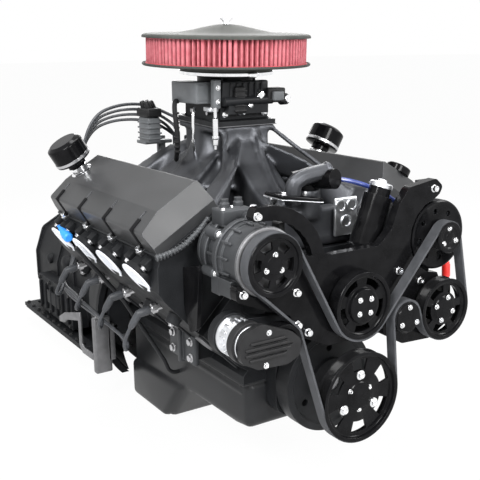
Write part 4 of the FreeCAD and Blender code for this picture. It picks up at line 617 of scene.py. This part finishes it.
pan = turned("base_pressing", [(62.3, -4.0), (63.6, -4.0), (64.2, 1.2), (66, 2.4), (94, 2.4), (97.6, 4.0),
        (98.2, 8), (98.2, 15.5), (100, 18.6), (104, 19.2), (168, 19.2), (176, 19.8), (177.8, 21.4), (177.8, 24.4),
        (176.6, 25.2), (176.2, 22.6), (174, 20.9), (104, 20.8), (99, 20.2), (96.6, 17), (96.6, 6), (94.5, 4.2),
        (64, 4.1), (62.3, 3.0), (62.3, -4.0)], 192)
done(put(pan, over_pad(100)), lid_black, "air_cleaner_base", angle=50)
band = turned("clamp_band", [(99.0, 0), (100.6, 0.4), (101.0, 3.5), (100.6, 6.6), (99.0, 7.0), (98.6, 3.5),
        (99.0, 0)], 160)
done(put(band, over_pad(101.5)), chrome)
clamp = eased(block("clamp_lug", (-9, -106, 99.5), (9, -98.5, 109.5)), 2.4, 4, 30)
done(put(clamp, over_pad()), chrome)


# Small shaping helpers: rounded box, stepped rod and hose.
def lump(name, low, high, ease=2.0, place=None, segments=3):
    piece = eased(block(name, low, high), ease, segments, 30)
    return put(piece, place) if place else piece


ALONG = Matrix(((0, 0, 1, 0), (1, 0, 0, 0), (0, 1, 0, 0), (0, 0, 0, 1)))


def side_pressing(name, points, half, radius, steps=4):
    """Side profile in (y, z) pulled across the engine, with its corners rounded."""
    piece = outlined(name, points, 2 * half)
    return put(eased(piece, radius, steps, 20), at(-half, 0, 0) @ ALONG)


def rod(name, rings, point, direction, steps=28):
    return put(turned(name, rings, steps), toward(point, direction))


def hose(name, points, r, steps=3, resolution=10):
    begin()
    line = bpy.data.curves.new(name, "CURVE")
    line.dimensions = "3D"
    line.bevel_depth = r * MM
    line.bevel_resolution = steps
    line.resolution_u = resolution
    line.use_fill_caps = True
    run = line.splines.new("NURBS")
    run.points.add(len(points) - 1)
    for spot, p in zip(run.points, points):
        spot.co = (p[0] * MM, p[1] * MM, p[2] * MM, 1)
    run.use_endpoint_u = True
    run.order_u = 3
    piece = bpy.data.objects.new(name, line)
    bpy.context.scene.collection.objects.link(piece)
    piece.select_set(True)
    bpy.context.view_layer.objects.active = piece
    bpy.ops.object.convert(target="MESH")
    return bpy.context.object


def hex_ring(name, r, h, point, direction):
    """Plain hexagon collar for a fitting."""
    return put(eased(barrel(name, 6, r, h, h / 2), 0.5, 2), toward(point, direction))


# Throttle body dress-up: fuel strip, ribbed block, sensors, fittings and studs.
done(lump("injector_strip", (-78, -82, 38), (-62, -66, 96), 2.5, over_pad()), grey_plastic)
done(lump("injector_strip_arm", (-80, -70, 30), (-60, -40, 40), 2, over_pad()), bright_alloy)
scattered("strip_bolts", small_screw, [over_pad(z, -70, -82) @ spun(90, "X") for z in (80, 52)])
face = lump("throttle_face", (-58, -73, 12), (58, -64, 70), 3, over_pad(), 4)
pick(face, lambda f: f.normal.y < -0.9 and f.area > 0.001)
bpy.ops.mesh.inset(thickness=0.006, depth=0)
bpy.ops.transform.translate(value=(0, 0.0018, 0))
bpy.ops.object.mode_set(mode="OBJECT")
done(face, satin_black)
ribs = [lump("ribbed_block", (-34, -92, 26), (-8, -73, 82), 5, None, 4)]
ribs += [lump("block_rib", (-35.5, -94, z), (-6.5, -74, z + 3.5), 1.2, None, 2) for z in range(31, 72, 10)]
done(put(joined("ribbed_block", ribs), over_pad()), black_plastic)
done(lump("sensor_box", (44, -96, 46), (88, -68, 76), 3.5, over_pad(), 4), black_plastic)
done(lump("sensor_socket", (52, -104, 50), (80, -94, 70), 4, over_pad(), 4), grey_plastic)
done(rod("round_sensor", [(4, 0), (11, 0), (12, 1), (12, 16), (10.5, 18), (6, 18.6)], (96, -296, 516),
         (0.2, -1, 0.1)), black_plastic)
done(rod("round_sensor_cap", [(3, 0), (8.4, 0), (8.4, 3.4), (7, 4.4), (3, 4.4)], (99.8, -314, 517.9),
         (0.2, -1, 0.1)), steel)
done(rod("fuel_fitting", [(3, 0), (6.2, 0), (6.2, 4), (8.8, 5), (8.8, 13), (6.4, 14.5), (6.4, 34), (9.6, 36),
        (9.6, 47), (7, 49), (3, 49)], (-1, -312, 503), (0.68, -0.1, 0.60)), chrome)
done(hex_ring("fuel_fitting_nut", 10.8, 9, (24, -316, 525), (0.68, -0.1, 0.60)), chrome)
done(rod("fuel_inlet", [(3, 0), (9.5, 0), (9.5, 14), (7.5, 16), (7.5, 26), (3, 26)], (-12, -290, 497),
         (0.1, -1, 0.05)), bright_alloy)
scattered("throttle_bolts", small_hex, [over_pad(z, x, -73.5) @ spun(90, "X")
        for z, x in ((60, 0), (24, -48), (24, 48))])
done(rod("throttle_cable_stud", [(2, 0), (3.4, 0), (3.4, 8), (5.5, 9), (5.5, 62), (3.4, 64), (3.4, 84), (2, 85)],
         (-79, -316, 424), (0, 0, 1)), chrome)
done(hex_ring("stud_nut", 7.6, 7, (-79, -316, 444), (0, 0, 1)), chrome)
scattered("base_nuts", small_hex, [over_pad(10.0, x, y) for x in (-66, 66) for y in (-68, 68)])
lines = [hose("fuel_loom", [(-100, -196, 516), (-116, -214, 520), (-124, -226, 500), (-122, -232, 460),
        (-118, -224, 420), (-112, -206, 398), (-104, -190, 392)], 5.2)]
lines += [rod("loom_ring", [(5.4, 0), (6.6, 1), (6.6, 3), (5.4, 4)], (-121, -228, z), (0, 0, 1), 20)
          for z in range(412, 493, 10)]
build("fuel_loom", lines, rubber)
done(hose("vacuum_pipe", [(-96, -262, 505), (-104, -270, 500), (-106, -272, 470), (-104, -268, 430),
        (-98, -262, 408), (-90, -252, 398)], 3.2), chrome)

# Gasket under the throttle body.
done(lump("pad_gasket", (-77, -80, -1.2), (77, 80, 0.4), 0.4, over_pad(), 1), gasket_grey)

# Intake casting: the CAD runners with ridges, webs and a flared tower, melted together as one casting.
def melted(name, node, extras, voxel, rounds):
    """The CAD node's shape joined with modelled lumps, remeshed and smoothed as sand castings are."""
    begin()
    piece = copy_of(NODES[node], Matrix.Identity(4))
    bpy.context.view_layer.objects.active = piece
    piece.select_set(True)
    bpy.ops.object.mode_set(mode="EDIT")
    bpy.ops.mesh.select_all(action="SELECT")
    bpy.ops.mesh.remove_doubles(threshold=0.00001)
    bpy.ops.object.mode_set(mode="OBJECT")
    piece = joined(name, [piece] + extras)
    use(piece, "REMESH", mode="VOXEL", voxel_size=voxel * MM)
    use(piece, "SMOOTH", factor=0.5, iterations=rounds)
    return piece


RIDGES = (([(28, -300, 462), (24, -322, 430), (18, -350, 392), (8, -400, 352), (0, -452, 320)], 7),
          ([(-52, -306, 456), (-66, -330, 420), (-88, -360, 386), (-112, -402, 362)], 6),
          ([(70, -300, 458), (100, -318, 428), (134, -342, 398), (160, -376, 366)], 6))
webs = [hose("ridge", points, r, 2, 8) for points, r in RIDGES]
flare = turned("tower_flare", [(4, 0), (74, 0), (78, -26), (90, -56), (112, -84), (150, -112), (150, -122),
        (4, -122)], 64)
flare.data.transform(Matrix.Diagonal((1.0, 0.8, 1.0, 1.0)))
webs.append(put(flare, at(0, -228, 462)))
webs.append(side_pressing("front_nose", [(-290, 462), (-312, 430), (-345, 392), (-398, 350), (-456, 316),
        (-456, 296), (-290, 296)], 44, 8))
done(melted("intake_casting", "intake_manifold", webs, 4.0, 7), intake_black, "intake_manifold", angle=180)
fittings = [rod("manifold_plug", [(3, 0), (9, 0), (9, 8), (7, 10), (7, 20), (3, 21)], (-96, -476, 318),
                (-0.2, -0.5, 1)),
            hex_ring("manifold_plug_hex", 10, 7, (-97, -479, 325), (-0.2, -0.5, 1))]
build("manifold_fitting", fittings, bright_alloy)
sender = [rod("coolant_sender", [(3, 0), (8, 0), (8, 10), (6, 12), (6, 26), (8, 28), (8, 34), (3, 36)],
              (-62, -492, 318), (-0.1, -0.3, 1)),
          hex_ring("coolant_sender_hex", 10.5, 8, (-62.4, -493, 322), (-0.1, -0.3, 1))]
build("coolant_sender", sender, steel)
scattered("manifold_bolts", small_hex, [toward((sx * 191, -70 - 104 * k, 349), (-sx * 0.35, 0, 1)) for sx in (-1, 1)
        for k in range(5)], steel)


# Tensioner: bright spring case with a toothed collar, dark arm cover with its screws.
def drum_at(name, rings, x, y, z, steps=72):
    return put(turned(name, rings, steps), to_front(x, y, z))


done(drum_at("spring_case", [(29, 66), (33.6, 66), (34.6, 67.5), (34.6, 84), (33.8, 86), (33, 88), (32, 90),
        (32, 137), (30, 139), (14, 139), (14, 148.6), (11, 148.6)], *CASE, 96), bright_alloy)
tooth = lump("case_tooth", (-2.4, 31, 90), (2.4, 34.6, 104), 0.8, None, 1)
teeth = [copy_of(tooth, to_front(*CASE, 20 * k)) for k in range(18)]
bpy.data.objects.remove(tooth)
build("case_teeth", teeth, bright_alloy)
done(drum_at("case_collar", [(30, 118), (36, 118), (37, 119), (37, 134), (36, 135), (30, 135)], *CASE),
     black_plastic)
ARM_Y = -693.0
cover = [lump("arm_rib", (x0, ARM_Y - 13.6, z - 2.6), (x1, ARM_Y - 10, z + 2.6), 1.6)
         for z, x0, x1 in ((160, -252, -184), (150.6, -262, -176), (141, -262, -172), (131, -254, -182))]
build("arm_ribs", cover, black_plastic, body="tension_arm")
scattered("arm_screws", small_screw, [to_front(-216, ARM_Y - 11.5, 174), to_front(-222, ARM_Y - 11.5, 118)], chrome,
          "tension_arm")

# Compressor: finned grey casting with lugs, port block, fittings and a bevel ring.
CX, CZ = CLUTCH
LUG_TURNS = (20, 78, 140, 205, 262, 318)
done(drum_at("clutch_bevel_ring", [(44, 0), (57.2, 0), (59.6, 2), (60.4, 5), (59.0, 8), (56.6, 9), (44, 9)], CX,
             -654, CZ, 96), iron)
fins = [put(lump("compressor_fin", (-2.2, 55, 40), (2.2, 61.2, 104), 1.2, None, 2),
            to_front(CX, -528, CZ, 26 * k - 20)) for k in range(14)]
build("compressor_fins", fins, cast_grey)
FLANGES = ((-556, [(50, 0), (61, 0), (62, 1), (62, 7), (61, 8), (50, 8)]),
           (-590, [(50, 0), (62.5, 0), (63.5, 1), (63.5, 11), (62, 12), (50, 12)]),
           (-520, [(20, 0), (48, 0), (54, 4), (55, 12), (50, 14), (20, 14)]))
rims = [drum_at("compressor_flange", rings, CX, y, CZ) for y, rings in FLANGES]
build("compressor_flanges", rims, cast_grey)
lugs = [put(turned("compressor_lug", [(4, 0), (8.6, 0), (9.4, 1), (9.4, 34), (8.6, 35), (4, 35)], 28),
            to_front(CX, -556, CZ, turn) @ at(62, 0, 0)) for turn in LUG_TURNS]
build("compressor_lugs", lugs, cast_grey)
scattered("compressor_bolts", small_hex, [to_front(CX, -591, CZ, turn) @ at(62, 0, 0) for turn in LUG_TURNS])
ports = [lump("port_block", (CX - 34, -578, CZ + 46), (CX + 26, -540, CZ + 78), 5)]
ports += [rod("port", [(3, 0), (9, 0), (9, 9), (7, 11), (7, 17), (3, 17)], (CX + x, -560, CZ + 77), (0, 0, 1))
          for x in (-18, 10)]
build("compressor_ports", ports, cast_grey)
scattered("port_bolts", small_screw, [at(CX - 4, -560, CZ + 77), at(CX - 28, -572, CZ + 77)])
done(lump("clutch_coil_plug", (CX + 40, -640, CZ + 40), (CX + 54, -618, CZ + 58), 3), black_plastic)

# Alternator: drilled gloss disc behind the small pulley, bars round the case, bolts.
AX, AZ = ALTERNATOR
disc = drum_at("alternator_disc", [(20, 0), (63, 0), (67, 2), (67.6, 5), (66.6, 8), (63, 9), (60, 8), (56, 6.6),
        (36, 6.6), (33, 8), (20, 8)], AX, -651, AZ, 108)
for k in range(8):
    carved(disc, put(barrel("disc_hole", 24, 5.6, 30), to_front(AX, -655, AZ, 45 * k + 10) @ at(46, 0, 0)))
done(eased(disc, 0.5, 2, 50), gloss_black)
slots = [put(lump("case_bar", (-2.6, 62.6, 56), (2.6, 66.4, 84), 1.2, None, 2), to_front(AX, -556, AZ, 18 * k))
         for k in range(20)]
build("alternator_bars", slots, cast_black)
scattered("alternator_bolts", small_hex, [to_front(AX, -640, AZ, t) @ at(63, 0, 0) for t in (30, 120, 210, 300)])

# Steering pump and driver-side plumbing.
done(rod("reservoir_cap_top", [(3, 0), (20, 0), (22, 1), (22, 9), (20, 11), (9, 11.6), (8, 17), (3, 18)],
         (106, -606, 365), (0.36, 0, 0.93), 48), bright_alloy)
done(rod("red_port_plug", [(3, 0), (7, 0), (8, 1), (8, 12), (10, 13), (10, 17), (8, 18), (3, 18)], (90, -598, 309),
         (-0.3, -1, 0.2)), red_cap)
done(rod("red_pump_plug", [(4, 0), (7.4, 0), (8.6, 2), (8.6, 26), (7.4, 28), (7.4, 31), (4, 32)], (298, -600, 160),
         (-0.05, 0, 1)), red_cap)
done(rod("pump_union", [(3, -60), (6, -58), (6, -4), (7.6, -2), (7.6, 1), (3, 2)], (298, -600, 160),
         (0.75, 0, 0.66)), cast_black)
done(hose("blue_hose", [(30, -530, 384), (60, -548, 380), (100, -566, 368), (130, -580, 352), (158, -590, 334),
        (176, -596, 316)], 4.6), blue_hose)
done(drum_at("idler_cap", [(4, 0), (12, 0), (26, 0.4), (27.4, 1.4), (27.6, 4), (26.4, 5.8), (18, 6.6), (4, 6.8)],
             IDLER[0], -688, IDLER[1], 72), gloss_black, body="idler")

# Oil pan: pressed sheet with a kicked-out deep rear, rail flange and rail screws.
pan = side_pressing("pan_body", [(-519, -3), (-519, -98), (-470, -105), (-268, -107), (-186, -204), (-6, -204),
        (-6, -3)], 139, 16)
kick = side_pressing("pan_kick", [(-7, -112), (-7, -204.5), (-174, -204.5), (-260, -101), (-150, -105)], 149, 14)
flange = side_pressing("pan_flange", [(-520, -6), (-520, -0.4), (-5, -0.4), (-5, -6)], 149, 1.2, 2)
seam = side_pressing("pan_bead", [(-500, -30), (-500, -22), (-30, -22), (-30, -30)], 141, 3.5, 3)
build("oil_pan_pressing", [pan, kick, flange, seam], pan_black, "oil_pan", angle=40)
scattered("pan_rail_screws", small_hex, [at(sx * 141, y, -6) @ spun(180, "X") for sx in (-1, 1)
        for y in range(-500, -10, 60)], black_plastic)

# Exhaust ports: a cast boss and a round pale cover each, with a nut on a lug at either side.
PORTS, STAGGER = [-435.0, -312.1, -189.2, -66.3], 24.0
covers, bosses, seats, nuts = [], [], [], []
for sx in (-1, 1):
    for y in PORTS:
        facing = Vector((sx * 0.80, 0, -0.60))
        spot = Vector((sx * 314.0, y - (STAGGER if sx > 0 else 0.0), 226.0))
        bosses.append(rod("port_boss", [(4, -30), (30, -30), (31, -6), (33, -3), (33, 6), (31.5, 7.5), (4, 7.5)],
                spot, facing, 40))
        covers.append(rod("port_face", [(4, 8), (35, 8), (36.5, 9), (36.5, 11), (35.5, 12), (30, 12.2), (26, 11.4),
                (4, 11.2)], spot, facing, 56))
        for dy in (-34, 34):
            lug = eased(block("stud_lug", (-10, -9, -16), (10, 9, 4)), 3, 3)
            seats.append(put(lug, toward(spot + Vector((sx * 6, dy, 24)), facing)))
            nuts.append(toward(spot + Vector((sx * 9, dy, 21)), facing))
build("port_cover_discs", covers, white_cover, "port_covers")
build("port_bosses", bosses + seats, cast_black)
scattered("port_nuts", small_hex, nuts, steel)
done(rod("sensor_cap", [(3, 0), (5.5, 0), (6.5, 3), (7.5, 22), (9, 28), (9, 40), (10.5, 42), (10.5, 56), (8, 59),
        (3, 59)], (-330, -62, 249), (0.0, -0.97, -0.24)), cyan_cap)

# Valve cover notches: dark hockey sticks set in the outer face and the slanted facet, and a rim on each cover.
HEAD_Y = {-1: -249.0, 1: -273.0}
RAIL_IN, RAIL_OUT = (371.4, 114.5), (406.1, -25.7)


def rail_frame(sx, y):
    """Frame on a head's cover rail: x outward along it, y along the engine, z away from the head."""
    inner, outer = (Vector((sx * (a - b), 0, a + b)) * math.sqrt(0.5) for a, b in (RAIL_IN, RAIL_OUT))
    x = (outer - inner).normalized()
    y_axis = Vector((0, -1 if sx < 0 else 1, 0))
    z = x.cross(y_axis)
    return Matrix(((x.x, y_axis.x, z.x, inner.x * MM), (x.y, y_axis.y, z.y, y * MM),
                   (x.z, y_axis.z, z.z, inner.z * MM), (0, 0, 0, 1)))


RAIL, COVER_H = 144.4, 61.0
notch = outlined("notch", [(RAIL - 2.5, 8), (RAIL + 1.4, 8), (RAIL + 1.4, 50), (RAIL - 25, 57), (RAIL - 25, 54.6),
        (RAIL - 2.5, 48)], 12)
eased(notch, 0.9, 2, 25)
put(notch, spun(90, "X") @ at(0, 0, -6))
for sx, name in ((-1, "right"), (1, "left")):
    base = rail_frame(sx, HEAD_Y[sx])
    sticks = [copy_of(notch, base @ at(0, -187 + 125 * i, 0)) for i in range(4)]
    rim = outlined("cover_rim", [(RAIL - 1, 0.4), (RAIL + 4.5, 0.4), (RAIL + 4.5, 5), (RAIL - 1, 6)], 486)
    eased(rim, 1.2, 2)
    put(rim, base @ spun(90, "X") @ at(0, 0, -243))
    build("notches_" + name, sticks, notch_black)
    build("cover_rim_" + name, [rim], satin_black)
bpy.data.objects.remove(notch)

# Breather necks: polished neck and clamp under each can.
for sx, y, name in ((-1, -195, "right"), (1, 75, "left")):
    base = rail_frame(sx, HEAD_Y[sx]) @ at(62, y, COVER_H)
    neck = put(turned("neck", [(16.2, 0.4), (24, 0.4), (24, 3), (19, 6), (19, 14), (22.5, 15.5), (22.5, 18),
            (21.4, 19.5), (16.2, 19.5), (16.2, 0.4)], 56), base)
    build("breather_neck_" + name, [neck], chrome)
    band = put(turned("band", [(40.2, 40), (40.8, 40), (40.8, 46), (40.2, 46), (40.2, 40)], 72),
               base @ at(0, 0, -3))
    build("breather_band_" + name, [band], steel)

# Heads: cast bosses with bolts along both lower edges.
parts, hexes = [], []
for sx in (-1, 1):
    for y in (-470, -373, -250, -128, -40):
        spot, facing = Vector((sx * 268, y, 140)), Vector((sx * 0.55, 0, -0.83))
        parts.append(rod("bolt_boss", [(4, -10), (15, -10), (13, 8), (12, 9), (4, 9)], spot, facing, 24))
        hexes.append(toward(spot + facing * 9, facing))
build("head_bosses", parts, cast_black)
scattered("head_bolts", small_hex, hexes, steel)

# Gearbox and bellhousing: rail screws, cover screws, ribs, domes and the bar, strip and bracket beside them.
scattered("gearbox_rail_screws", small_hex, [at(-176, y, -149.6) for y in range(240, 705, 45)], black_plastic)
scattered("gearbox_cover_screws", small_hex, [toward((-168.4, y, z), (-1, 0, 0)) for y in (348, 428, 508, 588)
        for z in (-132, -44)], black_plastic)
ribs = [lump("cover_rib", (-176, y - 4, -128), (-167, y + 4, -50), 3) for y in range(356, 577, 44)]
ribs.append(lump("cover_pad", (-174, 420, -104), (-167, 520, -64), 3))
build("gearbox_cover_ribs", ribs, cast_black)
domes = [rod("case_dome", [(3, -8), (r, -8), (r, 4), (r * 0.86, 9), (r * 0.5, 12), (3, 13)], (-129, y, z),
             (-1, 0, 0), 40) for y, z, r in ((230, 40, 26), (330, 30, 18), (460, 20, 22), (590, 8, 16))]
build("gearbox_domes", domes, cast_black)
lever = outlined("lever", [(240, -78), (276, -84), (276, -70), (238, -50), (128, -20), (122, -30), (122, -100),
        (112, -108), (50, -106), (50, -122), (118, -124), (138, -108), (138, -44), (226, -66)], 6)
eased(lever, 1.6, 2)
foot = lump("bar_foot", (-222, 52, -122), (-196, 66, -108), 1.5)
build("side_bar", [put(lever, at(-226, 0, 0) @ ALONG), foot], iron)
strip = lump("side_strip", (-226, 10, -116), (-221, 22, 4), 1.4)
build("side_strip", [strip, lump("strip_foot", (-224, 8, -20), (-205, 24, -8), 1.5)], bright_alloy)
plate = lump("rear_bracket", (-248, -26, -128), (-206, -8, 10), 4)
wing = lump("bracket_wing", (-216, -26, -100), (-196, -0.6, -10), 3)
build("rear_bracket", [plate, wing], iron)

# Plug leads: a smooth lead from each cap tower behind the cover to its elbow boot.
leads = []
for n in range(8):
    sx, y, lane = (-1 if n < 4 else 1), PORTS[n % 4], 3 - n % 4
    y = y - (STAGGER if sx > 0 else 0.0)
    root, way = Vector((sx * 275.8, y + 19.5, 150.7)), Vector((sx * 0.967, 0.141, -0.213))
    turn_angle = math.radians(90 - sx * 22.5 - sx * 45 * (3 - lane))
    tx, ty = 30 * math.cos(turn_angle), -50 + 30 * math.sin(turn_angle)
    yk, top, run = 15 + 9.0 * lane, 455 - 12.0 * lane, 102 - 9.5 * lane
    fall = Vector((sx * 0.45, 0.25, -0.86)).normalized()
    elbow = root + way * 36
    end = elbow + fall * 26
    low = end + fall * 34
    rise = 46 if sx < 0 else 8
    route = [tuple(end), tuple(low), (sx * 326, min(y + 56, yk - 44), run - 16),
             (sx * 304, min(y + 88, yk - 16), run), (sx * 304, yk, run + 4), (sx * 272, yk, run + 40),
             (sx * 256, yk, 200), (sx * 250, yk, 300), (sx * 240, yk, top - 60),
             (sx * 208, yk - 4, top + rise * 0.5), (sx * 150, yk - 14, top + rise), (sx * 90, -16, top + rise),
             (sx * 52, -34, top + rise * 0.6), (tx, ty, top), (tx, ty, 420), (tx, ty, 400.4)]
    leads.append(hose("lead", route, 3.6, 2, 8))
    leads.append(rod("boot_root", [(5.9, 13), (8.2, 14), (8.6, 22), (8.0, 34), (6.5, 40), (3, 41)], root, way, 20))
    leads.append(rod("boot_leg", [(3, -5), (6.8, -3), (7.6, 4), (7.2, 22), (5.6, 31), (3.4, 34)], elbow, fall, 20))
build("plug_leads", leads, lead_rubber, "plug_wires")
low, high = ([c / MM for c in corner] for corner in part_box("injection_cover"))
case = lump("injection_case", (low[0], low[1], low[2] + 12), (high[0], high[1], high[2] + 14), 3)
lid = lump("injection_lid", (low[0] + 3, low[1] - 1.5, low[2] + 18), (high[0] - 3, low[1] + 2, high[2] + 8), 1.2)
build("injection_box", [case, lid], grey_plastic, "injection_cover")

# Coolant outlet: curved elbow with a hose bead on a bright-edged flange; the head's pale end face.
elbow = hose("outlet_elbow", [(-40, -528, 340), (-44, -530, 372), (-30, -534, 388), (6, -538, 394),
        (34, -540, 397)], 15.5, 3, 12)
ring = rod("outlet_bead", [(13, -3), (16.2, -3), (17.6, -1), (17.6, 2), (16.2, 4), (13, 4), (13, -3)],
           (31, -540, 396.6), (0.99, 0, 0.1), 48)
build("outlet_elbow", [elbow, ring], intake_black)
tilt = at(-40, -532, 350) @ spun(9, "Y")
done(lump("outlet_flange", (-50, -30, 1), (46, 28, 8), 3, tilt), gloss_black)
done(lump("outlet_gasket", (-51, -31, -1.2), (47, 29, 0.8), 0.6, tilt, 1), bright_alloy)
scattered("outlet_bolts", small_hex, [tilt @ at(-40, -20, 8), tilt @ at(38, 18, 8)], steel)
face = lump("head_end_face", (62, -527.5, 262), (118, -521.4, 338), 3)
rims = [face] + [rod("face_boss", [(3, -2), (13, -2), (13, 3), (9, 3.4), (8, 1), (3, 1)], (x, -527.5, z),
                     (0, -1, 0), 32) for x, z in ((76, 322), (104, 322), (90, 290))]
build("head_end_face", rims, bright_alloy)

# Ribbed riser between the throttle body and the air cleaner.
riser = [lump("throttle_riser", (-60, -84, 50), (52, -66, 92), 4, over_pad())]
riser += [lump("riser_rib", (-44 + 15 * k, -88, 54), (-39 + 15 * k, -80, 88), 1, over_pad(), 1) for k in range(6)]
build("throttle_riser", riser, satin_black)

# Ignition coil: moulded case with a darker cap, tower boots and its bracket.
coil = [lump("coil_case", (-113, -80, 416), (-83, -28, 474), 4)]
coil += [lump("coil_rib", (-115, -82, 424 + 12 * k), (-81, -26, 428 + 12 * k), 1) for k in range(4)]
coil.append(lump("coil_foot", (-62, -26, 264), (-44, -14, 426), 2))
coil.append(lump("coil_arm", (-113, -60, 412), (-44, -14, 420), 2))
build("coil_case", coil, grey_plastic, "ignition_coil")
cap = [lump("coil_cap", (-116, -84, 474), (-80, -24, 494), 4)]
cap += [rod("coil_boot", [(3, 0), (7, 0), (7.6, 2), (6.6, 14), (4.6, 18), (3, 18)],
            (-106 + 16 * (k % 2), -70 + 11 * k, 493), (-0.35, 0.1, 1), 20) for k in range(4)]
build("coil_cap", cap, black_plastic)

# Corrugated loom in front of the passenger head, and a short yellow earth lead at the rear.
loom = [hose("loom_core", [(-318, -508, 272), (-296, -508, 277), (-270, -508, 283), (-248, -508, 297),
        (-228, -508, 313), (-210, -506, 330)], 5.2, 3, 10)]
for k in range(17):
    t = k / 16
    x, z = -316 + 104 * t, 273 + 8 * t + 46 * t * t
    loom.append(rod("loom_rib", [(4, -1.4), (6.2, -1.0), (6.6, 0), (6.2, 1.0), (4, 1.4)], (x, -508, z),
                    (104, 0, 8 + 92 * t), 20))
build("front_loom", loom, cast_grey)
done(hose("earth_lead", [(-160, 40, -2), (-162, 12, -6), (-164, -8, -18), (-164, -14, -34), (-162, 10, -48),
        (-158, 32, -58)], 1.8, 2, 8), earth_yellow)

# Block flanks: core plugs in their bosses, casting ribs and a mount plate on each pad.
plugs, webs, plates, plate_bolts = [], [], [], []
for sx in (-1, 1):
    facing = Vector((sx * 0.7071, 0, -0.7071))
    for y in (-446, -320, -196, -72):
        plugs.append(rod("core_plug", [(3, -1), (17, -1), (19, 3.4), (20.5, 3.4), (22, 1), (22, -3), (3, -3)],
                         (sx * 190, y, 70), facing, 44))
    for y in (-500, -384, -258, -134, -20):
        web = eased(outlined("block_rib", [(156, 30), (236, 110), (228, 116), (152, 40)], 9), 2, 2)
        put(web, spun(90, "X"))
        if sx < 0:
            put(web, Matrix.Diagonal((-1.0, 1.0, 1.0, 1.0)))
        webs.append(put(web, at(0, y, 0)))
    plates.append(lump("mount_plate", (min(sx * 181, sx * 192), -408, 8), (max(sx * 181, sx * 192), -302, 70), 3))
    plates.append(lump("mount_rib", (min(sx * 181, sx * 200), -360, 4), (max(sx * 181, sx * 200), -350, 74), 2.5))
    plate_bolts += [toward((sx * 192, y, z), (sx, 0, 0)) for y in (-392, -318) for z in (22, 56)]
build("core_plugs", plugs, iron)
build("block_ribs", webs, cast_black)
build("mount_plates", plates, cast_grey)
scattered("mount_bolts", hex_head, plate_bolts, steel)

for spare in (big_screw, small_screw, hex_head, small_hex):
    bpy.data.objects.remove(spare)
